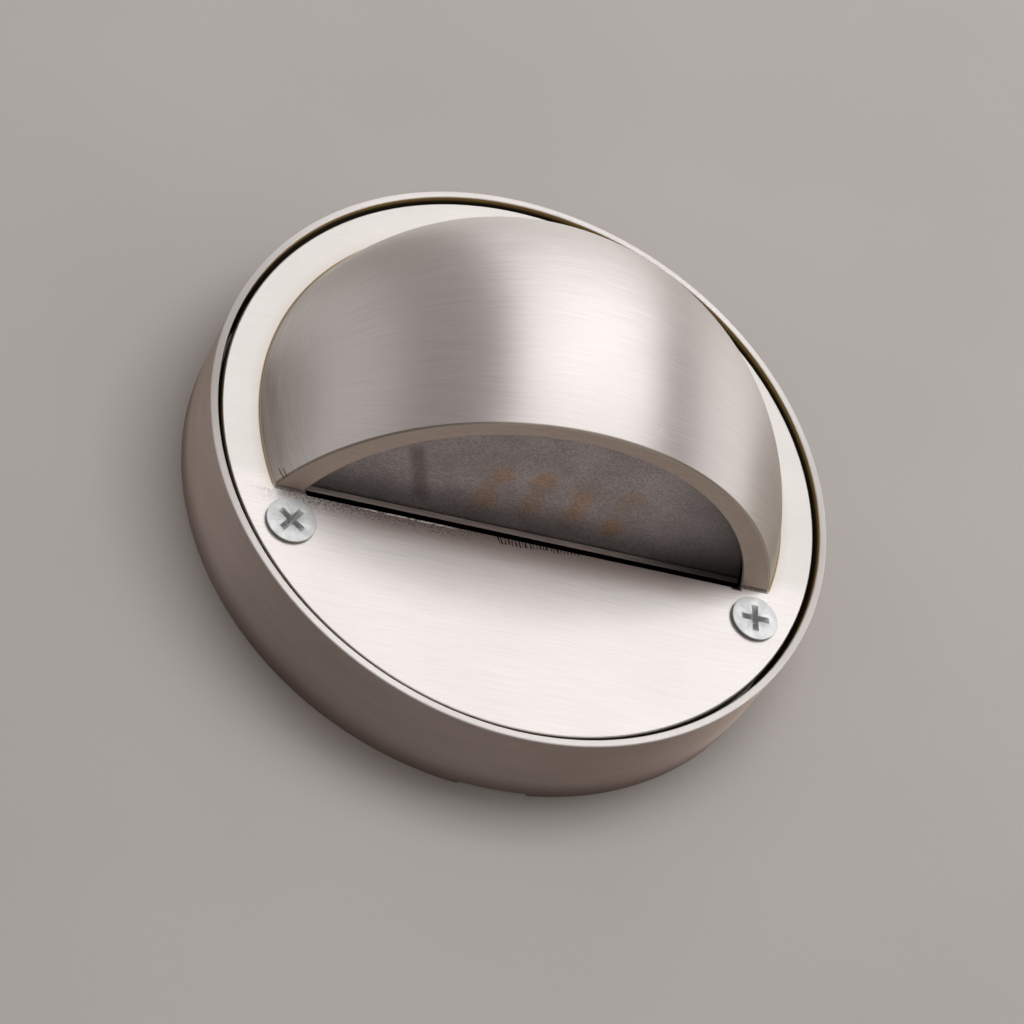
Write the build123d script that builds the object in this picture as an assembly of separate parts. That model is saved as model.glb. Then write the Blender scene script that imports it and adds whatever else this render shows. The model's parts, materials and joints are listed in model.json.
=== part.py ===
from build123d import *
from math import cos, radians, sin, sqrt
import os

# Round surface-mounted step light with a half-dome hood that throws light down.
# Millimetres. Every piece is drawn lying on its back: x to the right, y up the
# wall and z out of the wall, with z = 0 on the wall. stand_up() then turns it
# upright, so that the wall is the plane Y = 0 and the light faces -Y.

# Surface ring: a length of turned tube that stands on the wall
ring_radius = 50.0
ring_wall = 1.15
ring_depth = 15.9
ring_edge_round = 0.25
drain_notch_width = 10.5
drain_notch_height = 0.65

# Back plate: a disc welded inside the ring, flush with its wall edge
back_thickness = 1.5
weld_gap = 0.05
drain_cut_depth = 3.0
wall_slot_spacing = 56.0
wall_slot_width = 4.5
wall_slot_length = 9.0
cable_hole_radius = 6.0

# Faceplate and hood: one casting
plate_gap = 0.75
plate_recess = 0.8
plate_thickness = 3.0
plate_edge_round = 0.3
hood_root_inset = 5.85
hood_height = 31.05
hood_crown_wall = 2.5
hood_foot_wall = 4.4
hood_root_fillet = 0.4
lip_y = -15.3
lip_round = 0.45
foot_round = 0.6
aperture_drop = 0.55

# Face screws, and the pillars that they are driven into
screw_edge_distance = 5.8
screw_angle_below = 29.8
screw_radius = 2.0
screw_head_radius = 3.75
screw_head_rim = 0.35
screw_proud = 0.75
screw_length = 11.5
screw_hole_clearance = 0.25
thread_clearance = 0.05
recess_span = 4.5
recess_width = 0.95
recess_depth = 1.7
screw_turns = {"left": 38.0, "right": 8.0}
pillar_radius = 4.5
pillar_spigot_radius = 2.8
pillar_bore_floor = 1.0
rest_radius = 3.2
rest_edge_distance = 3.5
buffer_thickness = 1.0
retainer_thickness = 0.6
retainer_radius = 2.9
retainer_pocket_depth = 0.75
retainer_pocket_radius = 3.1

# Sealed lamp module: black case that fills the hood, closed behind by a cover
hood_clearance = 0.5
case_wall = 1.6
case_floor_drop = 0.1
case_nose_set_back = 1.8
flange_ring_gap = 3.0
flange_thickness = 2.0
flange_notch_clearance = 0.8
cover_thickness = 1.5
boss_edge_distance = 3.8
boss_radius = 3.0
boss_height = 1.5
boss_angles = (48.0, 132.0)
low_boss_x = 20.0
low_boss_drop = 4.5
module_screw_radius = 1.5
module_screw_hole = 1.7
module_screw_thread = 3.2
module_screw_head_radius = 2.8
module_screw_head_height = 1.8
gasket_width = 1.6
gasket_thickness = 0.8

# Lens and the pieces that hold it
lens_recess = 1.8
lens_thickness = 2.0
lens_set_back = 1.1
lens_seal_thickness = 0.4
lens_seal_width = 1.5
bar_thickness = 1.35
bar_leg_thickness = 0.6
bar_lip_depth = 1.7
bar_rebate_height = 0.35
bar_rebate_depth = 0.5
bar_end_gap = 0.3

# Light board: two rows of chips on an aluminium-core board, facing down
lens_to_chips = 3.5
chip_height = 0.8
chip_length = 3.5
chip_width = 2.8
chip_first_x = -7.0
chip_pitch_x = 6.8
chip_columns = 4
chip_row_out = (1.1, 7.6)
phosphor_length = 2.7
phosphor_width = 2.0
phosphor_dome = 0.12
board_thickness = 1.6
board_edge_gap = 1.4
board_set_back = 0.5
pad_thickness = 0.4

# Heat spreader: shelf over the light board, with two legs against the cover
shelf_thickness = 2.0
shelf_edge_gap = 0.8
leg_inner_x = 11.0
leg_outer_x = 27.0
leg_height = 9.0

# Driver board on four posts of the cover
driver_width = 42.0
driver_height = 27.0
driver_shelf_gap = 3.2
driver_thickness = 1.2
post_height = 4.4
post_radius = 2.2
post_bore_radius = 0.8
post_inset = 3.5
low_post_rise = 9.5
coil_x = -10.0
capacitor_x = 8.0
chip_rise = 4.0
coil_radius = 4.5
coil_height = 5.5
coil_flange = 0.8
coil_core_radius = 3.3
capacitor_radius = 4.0
capacitor_height = 10.0
chip_package = (6.0, 5.0, 1.6)
driver_screw_radius = 0.75
driver_screw_length = 4.5
driver_screw_head_radius = 1.6
driver_screw_head_height = 1.1
pin_size = 0.64
pin_pitch = 2.54
pin_edge_distance = 4.0
pin_hole_clearance = 0.25
pin_board_gap = 1.4

# Cable gland through the cover, in line with the hole in the back plate
gland_bore_radius = 2.0
gland_stem_radius = 2.75
gland_hole_clearance = 0.1
gland_hex = 9.0
gland_collar = 1.6
gland_outer_radius = 3.2
gland_stem_out = 2.6
gland_nut_end_z = 0.9
gland_nut_wall = 0.6
locknut_hex = 7.5
locknut_thickness = 1.6
locknut_floor_gap = 0.65
locknut_stem_proud = 0.4

# Heights above the wall and radii that follow from the sizes above
ring_inner_radius = ring_radius - ring_wall
plate_radius = ring_inner_radius - plate_gap
face_z = ring_depth - plate_recess
plate_back_z = face_z - plate_thickness
root_radius = plate_radius - hood_root_inset
hollow_root_radius = root_radius - hood_foot_wall
hollow_height = hood_height - hood_crown_wall
hood_radius = (root_radius**2 + hood_height**2) / (2 * hood_height)
hollow_radius = (hollow_root_radius**2 + hollow_height**2) / (2 * hollow_height)
outer_centre_z = face_z + hood_height - hood_radius
inner_centre_z = face_z + hollow_height - hollow_radius
aperture_y = lip_y - aperture_drop
flange_front_z = plate_back_z - boss_height
flange_back_z = flange_front_z - flange_thickness
cover_back_z = flange_back_z - cover_thickness
case_radius = hollow_radius - hood_clearance
cavity_radius = case_radius - case_wall
case_nose_z = face_z - case_nose_set_back
lens_y = lip_y + lens_recess
lens_top_y = lens_y + lens_thickness
case_rim_y = lens_top_y + lens_seal_thickness
case_floor_y = lens_y - case_floor_drop
cavity_floor_y = case_floor_y + case_wall
lens_back_z = face_z - lens_set_back
chip_face_y = lens_y + lens_to_chips
board_bottom_y = chip_face_y + chip_height
board_top_y = board_bottom_y + board_thickness
board_back_z = face_z - board_set_back
board_radius = sqrt(cavity_radius**2 - board_bottom_y**2) - board_edge_gap
shelf_bottom_y = board_top_y + pad_thickness
shelf_top_y = shelf_bottom_y + shelf_thickness
driver_bottom_y = shelf_top_y + driver_shelf_gap
driver_top_y = driver_bottom_y + driver_height
driver_back_z = flange_back_z + post_height
driver_front_z = driver_back_z + driver_thickness
pin_x = pin_edge_distance - driver_width / 2
pin_z = driver_front_z + pin_board_gap
flange_radius = ring_inner_radius - flange_ring_gap
boss_circle_radius = flange_radius - boss_edge_distance
low_boss_y = aperture_y - low_boss_drop
flange_bottom_y = low_boss_y - low_boss_drop
cable_y = cavity_floor_y + locknut_hex / 2 + locknut_floor_gap
screw_circle_radius = plate_radius - screw_edge_distance
rest_y = plate_radius - rest_edge_distance
screw_x = screw_circle_radius * cos(radians(screw_angle_below))
screw_y = -screw_circle_radius * sin(radians(screw_angle_below))
head_top_z = face_z + screw_proud
screw_points = {"left": (-screw_x, screw_y), "right": (screw_x, screw_y)}
pillar_places = [(point, pillar_radius) for point in screw_points.values()] + [((0, rest_y), rest_radius)]
boss_points = [
    (boss_circle_radius * cos(radians(a)), boss_circle_radius * sin(radians(a))) for a in boss_angles
] + [(side * low_boss_x, low_boss_y) for side in (-1, 1)]
post_points = [
    (side * (driver_width / 2 - post_inset), y)
    for side in (-1, 1)
    for y in (driver_bottom_y + low_post_rise, driver_top_y - post_inset)
]
far = 4 * ring_radius


def stand_up(shape):
    """Turn a piece from lying on its back to standing against the wall."""
    return Rot(90, 0, 0) * shape


def rod(radius, z_from, z_to, at=(0.0, 0.0)):
    """Round bar along z."""
    return Pos(at[0], at[1], z_from) * extrude(Circle(radius), z_to - z_from)


def block(x_from, x_to, y_from, y_to, z_from, z_to):
    """Square block between two corners."""
    size = (x_to - x_from, y_to - y_from, z_to - z_from)
    middle = ((x_from + x_to) / 2, (y_from + y_to) / 2, (z_from + z_to) / 2)
    return Pos(*middle) * Box(*size)


def hexagon(across_flats, z_from, z_to, at=(0.0, 0.0)):
    """Hexagonal bar along z."""
    corner_radius = across_flats / sqrt(3)
    return Pos(at[0], at[1], z_from) * extrude(RegularPolygon(corner_radius, 6), z_to - z_from)


def above(y):
    """Everything higher up the wall than y."""
    return block(-far, far, y, far, -far, far)


def out_of(z):
    """Everything further out of the wall than z."""
    return block(-far, far, -far, far, z, far)


def ball(radius, centre_z):
    return Pos(0, 0, centre_z) * Sphere(radius)


def layer(y_from, y_to, z_from, radius):
    """Level sheet inside the hood: straight at the back, round in front."""
    outline = Pos(0, 0, inner_centre_z) * Rot(-90, 0, 0) * Circle(radius)
    sheet = extrude(outline, amount=far, both=True)
    return sheet & block(-far, far, y_from, y_to, z_from, far)


def edges_at(shape, z, radius):
    """Round edges that lie in the plane z and have the given radius."""
    found = [
        edge
        for edge in shape.edges().filter_by(GeomType.CIRCLE)
        if abs(edge.center().Z - z) < 1e-3 and abs(edge.radius - radius) < 1e-3
    ]
    return ShapeList(found)


def surface_ring():
    """Brushed tube, square at the wall, with a drain notch at six o'clock."""
    ring = rod(ring_radius, 0, ring_depth) - rod(ring_inner_radius, 0, ring_depth)
    rim = edges_at(ring, ring_depth, ring_radius) + edges_at(ring, ring_depth, ring_inner_radius)
    ring = fillet(rim, ring_edge_round)
    half = drain_notch_width / 2
    return ring - block(-half, half, -far, 0, 0, drain_notch_height)


def back_plate():
    """Disc with two slots for wall screws, a cable hole and a drain cut."""
    disc = rod(ring_inner_radius - weld_gap, 0, back_thickness)
    slot = extrude(SlotOverall(wall_slot_length, wall_slot_width), back_thickness)
    for side in (-1, 1):
        disc -= Pos(side * wall_slot_spacing / 2, 0, 0) * slot
    disc -= rod(cable_hole_radius, 0, back_thickness, (0, cable_y))
    half = drain_notch_width / 2
    disc -= block(-half, half, -far, drain_cut_depth - ring_inner_radius, 0, back_thickness)
    for point, _ in pillar_places:
        disc -= rod(pillar_spigot_radius + weld_gap, 0, back_thickness, point)
    return disc


def pillar(point, radius, top_z):
    """Round pillar, riveted into the back plate by its spigot."""
    spigot = rod(pillar_spigot_radius, 0, back_thickness, point)
    return spigot + rod(radius, back_thickness, top_z, point)


def screw_pillar(point):
    """Pillar with a tapped hole, open towards the face screw."""
    bore = rod(screw_radius + thread_clearance, back_thickness + pillar_bore_floor, plate_back_z, point)
    return pillar(point, pillar_radius, plate_back_z) - bore


def top_rest():
    """Plain pillar behind the top of the faceplate."""
    return pillar((0, rest_y), rest_radius, plate_back_z - buffer_thickness)


def rest_buffer():
    """Rubber disc on the plain pillar, which the faceplate rests on."""
    return rod(rest_radius, plate_back_z - buffer_thickness, plate_back_z, (0, rest_y))


def hood_dome():
    """Ball segment on the faceplate, with a filleted root."""
    disc = rod(plate_radius, plate_back_z, face_z)
    body = disc + (ball(hood_radius, outer_centre_z) & out_of(face_z))
    body = fillet(edges_at(body, face_z, root_radius), hood_root_fillet)
    return fillet(edges_at(body, face_z, plate_radius), plate_edge_round)


def foot_fillets():
    """Concave strip in the corner between the faceplate and the hood's feet."""
    half = sqrt(root_radius**2 - lip_y**2)
    strip = block(-half, half, lip_y - foot_round, lip_y, face_z, face_z + foot_round)
    groove = Pos(-half, lip_y - foot_round, face_z + foot_round) * Rot(0, 90, 0)
    return strip - groove * extrude(Circle(foot_round), 2 * half)


def faceplate_hood():
    """Faceplate and half-dome hood in one casting, open behind and below."""
    body = hood_dome()
    body -= out_of(face_z) - above(lip_y)
    hollow = ball(hollow_radius, inner_centre_z) & above(aperture_y)
    body -= hollow
    lip = [
        edge
        for edge in body.edges()
        if abs(edge.center().Y - lip_y) < 0.02 and edge.center().Z > face_z and edge.length > root_radius
    ]
    body = fillet(lip, lip_round) + (foot_fillets() - hollow)
    for point in boss_points:
        body += rod(boss_radius, flange_front_z, plate_back_z + 0.1, point)
        body -= rod(module_screw_radius + thread_clearance, flange_front_z,
                    flange_front_z + module_screw_thread, point)
    for point in screw_points.values():
        body -= rod(screw_radius + screw_hole_clearance, plate_back_z, face_z, point)
        body -= rod(retainer_pocket_radius, plate_back_z, plate_back_z + retainer_pocket_depth, point)
        body -= screw_head_cone(point, screw_hole_clearance / 2)
    return body


def screw_head_cone(point, clearance):
    """Countersunk cone of a face screw's head, square to the axis at its rim."""
    rim_z = head_top_z - screw_head_rim
    height = screw_head_radius - screw_radius
    cone = Cone(screw_radius + clearance, screw_head_radius + clearance, height,
                align=(Align.CENTER, Align.CENTER, Align.MAX))
    return Pos(point[0], point[1], rim_z) * cone


def face_screw(side):
    """Countersunk machine screw with a cross recess, standing a little proud."""
    point = screw_points[side]
    head = rod(screw_head_radius, head_top_z - screw_head_rim, head_top_z, point)
    shank = rod(screw_radius, head_top_z - screw_length, head_top_z - screw_head_rim, point)
    slot = Box(recess_span, recess_width, recess_depth, align=(Align.CENTER, Align.CENTER, Align.MAX))
    tip = Cone(0.3, recess_span / 2, recess_depth, align=(Align.CENTER, Align.CENTER, Align.MAX))
    cross = (slot + Rot(0, 0, 90) * slot) & tip
    place = Pos(point[0], point[1], head_top_z) * Rot(0, 0, screw_turns[side])
    return head + shank + screw_head_cone(point, 0.0) - place * cross


def screw_retainer(point):
    """Nylon washer that keeps a face screw in the faceplate."""
    top_z = plate_back_z + retainer_pocket_depth
    washer = rod(retainer_radius, top_z - retainer_thickness, top_z, point)
    return washer - rod(screw_radius + thread_clearance, plate_back_z, face_z, point)


def flange_outline(z_from, z_to):
    """Round flange, flat below, cut back round the pillars."""
    flange = rod(flange_radius, z_from, z_to) & above(flange_bottom_y)
    for point, radius in pillar_places:
        flange -= rod(radius + flange_notch_clearance, z_from, z_to, point)
    return flange


def module_case():
    """Black case: a dome behind the hood, open below and behind, on a flange."""
    shell = ball(case_radius, inner_centre_z) & above(case_floor_y) & out_of(flange_front_z)
    shell -= out_of(case_nose_z) - above(case_rim_y)
    shell += flange_outline(flange_back_z, flange_front_z)
    shell -= ball(cavity_radius, inner_centre_z) & above(cavity_floor_y) & out_of(flange_back_z)
    shell -= gasket_ring()
    for point in boss_points:
        shell -= rod(module_screw_hole, flange_back_z, flange_front_z, point)
    return shell


def gasket_ring():
    """Loop of the cover gasket, outside the opening of the case."""
    inner = cavity_radius + case_wall / 2
    bottom = cavity_floor_y - gasket_width
    outer_disc = rod(inner + gasket_width, flange_back_z, flange_back_z + gasket_thickness)
    inner_disc = rod(inner, flange_back_z, flange_back_z + gasket_thickness)
    outer_disc &= above(bottom - gasket_width)
    inner_disc &= above(bottom)
    return outer_disc - inner_disc


def module_cover():
    """Flat cover behind the case, with posts for the driver board."""
    cover = flange_outline(cover_back_z, flange_back_z)
    for point in post_points:
        cover += rod(post_radius, flange_back_z, driver_back_z, point)
        cover -= rod(post_bore_radius, flange_back_z, driver_back_z, point)
    for point in boss_points:
        cover -= rod(module_screw_hole, cover_back_z, flange_back_z, point)
    return cover - rod(gland_stem_radius + gland_hole_clearance, cover_back_z, flange_back_z, (0, cable_y))


def module_screws():
    """Four pan-head screws through cover and flange into the casting's bosses."""
    screws = []
    for point in boss_points:
        tip_z = flange_front_z + module_screw_thread - 0.3
        head = rod(module_screw_head_radius, cover_back_z - module_screw_head_height, cover_back_z, point)
        head = fillet(edges_at(head, cover_back_z - module_screw_head_height, module_screw_head_radius), 0.7)
        screws.append(head + rod(module_screw_radius, cover_back_z, tip_z, point))
    return Compound(children=screws)


def lens():
    """Frosted lens, level inside the mouth of the hood."""
    radius = sqrt(case_radius**2 - lens_y**2)
    return layer(lens_y, lens_top_y, lens_back_z, radius)


def lens_seal():
    """Flat silicone frame between the lens and the rim of the case."""
    radius = sqrt(case_radius**2 - lens_y**2)
    frame = layer(lens_top_y, case_rim_y, lens_back_z, radius)
    return frame - layer(lens_top_y, case_rim_y, lens_back_z + lens_seal_width, radius - lens_seal_width)


def lens_bar():
    """Angle strip under the straight edge of the lens, rebated along its upper front edge."""
    bottom_y = lens_y - bar_thickness
    lip_z = case_nose_z + bar_lip_depth
    leg_z = case_nose_z + bar_leg_thickness
    half = sqrt(hollow_radius**2 - bottom_y**2 - (lip_z - inner_centre_z) ** 2) - bar_end_gap
    lip = block(-half, half, bottom_y, lens_y, case_nose_z, lip_z)
    leg = block(-half, half, bottom_y, lens_top_y, case_nose_z, leg_z)
    rebate = block(-half, half, lens_y - bar_rebate_height, lens_y, lip_z - bar_rebate_depth, lip_z)
    return lip + leg - rebate


def chip_points():
    return [
        (chip_first_x + column * chip_pitch_x, face_z + out)
        for out in chip_row_out
        for column in range(chip_columns)
    ]


def light_chips():
    """White chip packages, with a shallow well for the phosphor."""
    chips = []
    for x, z in chip_points():
        body = block(x - chip_length / 2, x + chip_length / 2, chip_face_y, board_bottom_y,
                     z - chip_width / 2, z + chip_width / 2)
        well = block(x - phosphor_length / 2, x + phosphor_length / 2, chip_face_y, chip_face_y + 0.4,
                     z - phosphor_width / 2, z + phosphor_width / 2)
        chips.append(body - well)
    return Compound(children=chips)


def chip_phosphors():
    """Yellow silicone that fills each chip's well and bulges slightly."""
    return Compound(children=[
        block(x - phosphor_length / 2, x + phosphor_length / 2, chip_face_y - phosphor_dome, chip_face_y + 0.4,
              z - phosphor_width / 2, z + phosphor_width / 2)
        for x, z in chip_points()
    ])


def pin_holes(y_from, y_to, radius):
    holes = [
        Pos(x, y_from, z) * Rot(-90, 0, 0) * extrude(Circle(radius), y_to - y_from) for x, z in pin_points()
    ]
    return holes


def pin_points():
    return [(pin_x + side * pin_pitch / 2, pin_z) for side in (-1, 1)]


def light_board():
    """Aluminium-core board across the hood."""
    board = layer(board_bottom_y, board_top_y, board_back_z, board_radius)
    for hole in pin_holes(board_bottom_y, board_top_y, pin_size / 2 + pin_hole_clearance):
        board -= hole
    return board


def thermal_pad():
    """Soft pad between the light board and the heat spreader."""
    pad = layer(board_top_y, shelf_bottom_y, board_back_z, board_radius)
    return pad - link_slot(board_top_y, shelf_bottom_y)


def link_slot(y_from, y_to):
    """Clearance round the pins that join the two boards."""
    half = pin_pitch / 2
    return block(pin_x - 3 * half, pin_x + 3 * half, y_from, y_to, pin_z - half, pin_z + half)


def heat_spreader():
    """Bent aluminium plate: a shelf over the light board and two legs."""
    radius = sqrt(cavity_radius**2 - shelf_bottom_y**2) - shelf_edge_gap
    shelf = layer(shelf_bottom_y, shelf_top_y, flange_back_z, radius)
    shelf -= block(-leg_inner_x, leg_inner_x, shelf_bottom_y, shelf_top_y, flange_back_z, driver_back_z)
    for side in (-1, 1):
        x_from, x_to = sorted((side * leg_inner_x, side * leg_outer_x))
        shelf += block(x_from, x_to, shelf_bottom_y, shelf_top_y + leg_height,
                       flange_back_z, flange_back_z + shelf_thickness)
    return shelf - link_slot(shelf_bottom_y, shelf_top_y)


def driver_board():
    """Constant-current driver board, parallel to the wall."""
    half = driver_width / 2
    board = block(-half, half, driver_bottom_y, driver_top_y, driver_back_z, driver_front_z)
    for point in post_points:
        board -= rod(driver_screw_radius + 0.15, driver_back_z, driver_front_z, point)
    return board


def driver_coil():
    """Drum-core coil."""
    at = (coil_x, driver_bottom_y + driver_height / 2)
    top_z = driver_front_z + coil_height
    drum = rod(coil_core_radius, driver_front_z, top_z, at)
    drum += rod(coil_radius, driver_front_z, driver_front_z + coil_flange, at)
    return drum + rod(coil_radius, top_z - coil_flange, top_z, at)


def driver_capacitor():
    """Can capacitor standing on the board."""
    at = (capacitor_x, driver_bottom_y + driver_height / 2)
    can = rod(capacitor_radius, driver_front_z, driver_front_z + capacitor_height, at)
    return fillet(edges_at(can, driver_front_z + capacitor_height, capacitor_radius), 0.5)


def driver_chip():
    """Control chip package."""
    width, height, depth = chip_package
    y = driver_bottom_y + chip_rise
    return block(-width / 2, width / 2, y, y + height, driver_front_z, driver_front_z + depth)


def driver_screws():
    """Small screws that hold the driver board on the cover's posts."""
    screws = []
    for point in post_points:
        head_z = driver_front_z + driver_screw_head_height
        head = rod(driver_screw_head_radius, driver_front_z, head_z, point)
        screws.append(head + rod(driver_screw_radius, head_z - driver_screw_length, driver_front_z, point))
    return Compound(children=screws)


def link_header():
    """Block on the driver board that carries the two link pins."""
    top_y = driver_bottom_y + pin_pitch
    header = block(pin_x - pin_pitch, pin_x + pin_pitch, driver_bottom_y, top_y,
                   driver_front_z, pin_z + pin_board_gap)
    for hole in pin_holes(driver_bottom_y, top_y, pin_size / 2):
        header -= hole
    return header


def link_pins():
    """Two pins from the driver board down to the light board."""
    return Compound(children=pin_holes(board_bottom_y, driver_bottom_y + pin_pitch, pin_size / 2))


def cable_gland():
    """Brass gland through the cover: hexagon collar and two stems."""
    at = (0, cable_y)
    collar_z = cover_back_z - gland_collar
    body = hexagon(gland_hex, collar_z, cover_back_z, at)
    body += rod(gland_stem_radius, cover_back_z, flange_back_z + locknut_thickness + locknut_stem_proud, at)
    body += rod(gland_outer_radius, collar_z - gland_stem_out, collar_z, at)
    return body - rod(gland_bore_radius, -far, far, at)


def gland_locknut():
    """Flat nut inside the cover."""
    at = (0, cable_y)
    nut = hexagon(locknut_hex, flange_back_z, flange_back_z + locknut_thickness, at)
    return nut - rod(gland_stem_radius + thread_clearance, flange_back_z, far, at)


def gland_nut():
    """Clamping nut towards the wall, closed down to the cable at its end."""
    at = (0, cable_y)
    collar_z = cover_back_z - gland_collar
    nut = hexagon(gland_hex, gland_nut_end_z, collar_z, at)
    nut -= rod(gland_outer_radius + thread_clearance, gland_nut_end_z + gland_nut_wall, collar_z, at)
    return nut - rod(gland_bore_radius, -far, far, at)


def gland_seal():
    """Rubber ring that the clamping nut squeezes on the cable."""
    at = (0, cable_y)
    stem_z = cover_back_z - gland_collar - gland_stem_out
    ring = rod(gland_outer_radius, gland_nut_end_z + gland_nut_wall, stem_z, at)
    return ring - rod(gland_bore_radius, -far, far, at)


pieces = {
    "surface_ring": surface_ring(),
    "back_plate": back_plate(),
    "screw_pillars": Compound(children=[screw_pillar(point) for point in screw_points.values()]),
    "top_rest": top_rest(),
    "rest_buffer": rest_buffer(),
    "faceplate_hood": faceplate_hood(),
    "face_screws": Compound(children=[face_screw(side) for side in screw_points]),
    "screw_retainers": Compound(children=[screw_retainer(point) for point in screw_points.values()]),
    "module_case": module_case(),
    "cover_gasket": gasket_ring(),
    "module_cover": module_cover(),
    "module_screws": module_screws(),
    "lens": lens(),
    "lens_seal": lens_seal(),
    "lens_bar": lens_bar(),
    "light_board": light_board(),
    "light_chips": light_chips(),
    "chip_phosphors": chip_phosphors(),
    "thermal_pad": thermal_pad(),
    "heat_spreader": heat_spreader(),
    "driver_board": driver_board(),
    "driver_coil": driver_coil(),
    "driver_capacitor": driver_capacitor(),
    "driver_chip": driver_chip(),
    "driver_screws": driver_screws(),
    "link_header": link_header(),
    "link_pins": link_pins(),
    "cable_gland": cable_gland(),
    "gland_locknut": gland_locknut(),
    "gland_nut": gland_nut(),
    "gland_seal": gland_seal(),
}

os.makedirs("parts", exist_ok=True)
for name, shape in pieces.items():
    export_step(stand_up(shape), f"parts/{name}.step")
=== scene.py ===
"""Looks of a round step light with a half-dome hood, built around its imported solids."""

import json
from math import atan2, cos, pi, radians, sin, sqrt

import bmesh
import bpy
from bpy.props import FloatProperty, FloatVectorProperty, PointerProperty
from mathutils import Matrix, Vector

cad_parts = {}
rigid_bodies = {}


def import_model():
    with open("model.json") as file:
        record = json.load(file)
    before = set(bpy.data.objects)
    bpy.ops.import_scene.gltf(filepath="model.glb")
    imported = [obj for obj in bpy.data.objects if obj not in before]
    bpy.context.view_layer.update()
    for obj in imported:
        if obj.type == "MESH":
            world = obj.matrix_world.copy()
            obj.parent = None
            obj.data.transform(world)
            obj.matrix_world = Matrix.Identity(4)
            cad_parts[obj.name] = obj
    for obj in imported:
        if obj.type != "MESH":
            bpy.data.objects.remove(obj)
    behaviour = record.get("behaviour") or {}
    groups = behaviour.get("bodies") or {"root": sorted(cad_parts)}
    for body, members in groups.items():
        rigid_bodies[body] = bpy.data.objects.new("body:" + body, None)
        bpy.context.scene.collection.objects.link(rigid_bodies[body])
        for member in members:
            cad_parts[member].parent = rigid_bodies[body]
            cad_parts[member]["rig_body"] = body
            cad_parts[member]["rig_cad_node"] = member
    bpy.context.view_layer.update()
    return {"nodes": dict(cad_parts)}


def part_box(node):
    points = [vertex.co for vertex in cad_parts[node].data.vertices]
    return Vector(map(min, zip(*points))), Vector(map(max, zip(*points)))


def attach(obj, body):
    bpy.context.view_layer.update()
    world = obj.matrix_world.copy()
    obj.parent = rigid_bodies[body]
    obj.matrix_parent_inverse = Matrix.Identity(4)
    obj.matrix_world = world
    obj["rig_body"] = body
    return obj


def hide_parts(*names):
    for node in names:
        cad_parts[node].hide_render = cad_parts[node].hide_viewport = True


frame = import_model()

bl_info = {
    "name": "Step Light",
    "version": (1, 0, 0),
    "blender": (4, 5, 0),
    "location": "3D View > Sidebar > Step Light",
    "description": "Models the ring, casting, screws, lens and lamp module of a round step light",
    "category": "Mesh",
}

mm = 0.001
# Points nearer to each other than this are one
same_point = 1e-7

# Boxes of the solids that the new pieces are fitted to
ring_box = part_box("surface_ring")
casting_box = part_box("faceplate_hood")
screws_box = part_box("face_screws")
lens_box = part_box("lens")
bar_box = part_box("lens_bar")


def linear(code, alpha=1.0):
    """Turn an sRGB hex colour such as "#E6E0DD" into linear values."""
    channels = [int(code[i : i + 2], 16) / 255 for i in (1, 3, 5)]
    return [c / 12.92 if c <= 0.04045 else ((c + 0.055) / 1.055) ** 2.4 for c in channels] + [alpha]


def length(name, description, default):
    """A length in metres that the panel shows in the scene's unit."""
    return FloatProperty(
        name=name, description=description, default=default, precision=5, unit="LENGTH", subtype="DISTANCE"
    )


def colour(name, description, code):
    return FloatVectorProperty(
        name=name, description=description, default=linear(code), size=4, min=0, max=1, subtype="COLOR"
    )


def share(name, description, default):
    return FloatProperty(name=name, description=description, default=default, min=0, max=1, subtype="FACTOR")


class StepLightSizes(bpy.types.PropertyGroup):
    """Lengths of the pieces that are modelled here."""

    ring_radius: length("Ring radius", "Outer radius of the surface ring", ring_box[1].x)
    ring_depth: length("Ring depth", "How far the ring stands out of the wall", -ring_box[0].y)
    ring_wall: length("Ring wall", "Thickness of the ring's tube", 1.15 * mm)
    ring_rounding: length("Ring rounding", "Rounding of the ring's front edge", 0.25 * mm)
    notch_width: length("Notch width", "Width of the drain notch at six o'clock", 10.5 * mm)
    notch_height: length("Notch height", "Depth of the drain notch in the wall edge", 0.65 * mm)
    plate_radius: length("Plate radius", "Radius of the faceplate", casting_box[1].x)
    plate_recess: length("Plate recess", "How far the face lies behind the ring's rim", 0.8 * mm)
    plate_thickness: length("Plate thickness", "Thickness of the faceplate", 3.0 * mm)
    plate_rounding: length("Plate rounding", "Rounding of the faceplate's edge", 0.3 * mm)
    root_inset: length("Root inset", "From the faceplate's edge to the foot of the hood", 5.85 * mm)
    crown_wall: length("Crown wall", "Thickness of the hood at its crown", 2.5 * mm)
    foot_wall: length("Foot wall", "Thickness of the hood at the faceplate", 4.4 * mm)
    base_fillet: length("Base fillet", "Radius between the hood and the faceplate", 0.4 * mm)
    lip_level: length("Lip level", "Height of the hood's level lip", -15.3 * mm)
    lip_rounding: length("Lip rounding", "Rounding of the lip's two edges", 0.45 * mm)
    aperture_drop: length("Aperture drop", "From the lip down to the faceplate's straight edge", 0.55 * mm)
    head_radius: length("Head radius", "Radius of a face screw's head", 3.75 * mm)
    screw_radius: length("Screw radius", "Outer radius of a face screw's thread", 2.0 * mm)
    screw_pitch: length("Screw pitch", "Pitch of a face screw's thread", 0.7 * mm)
    recess_span: length("Recess span", "Width of the cross recess over its arms", 4.5 * mm)
    recess_width: length("Recess width", "Width of one arm of the cross recess", 0.95 * mm)
    lens_rounding: length("Lens rounding", "Rounding of the lens's edges", 0.2 * mm)


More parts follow.
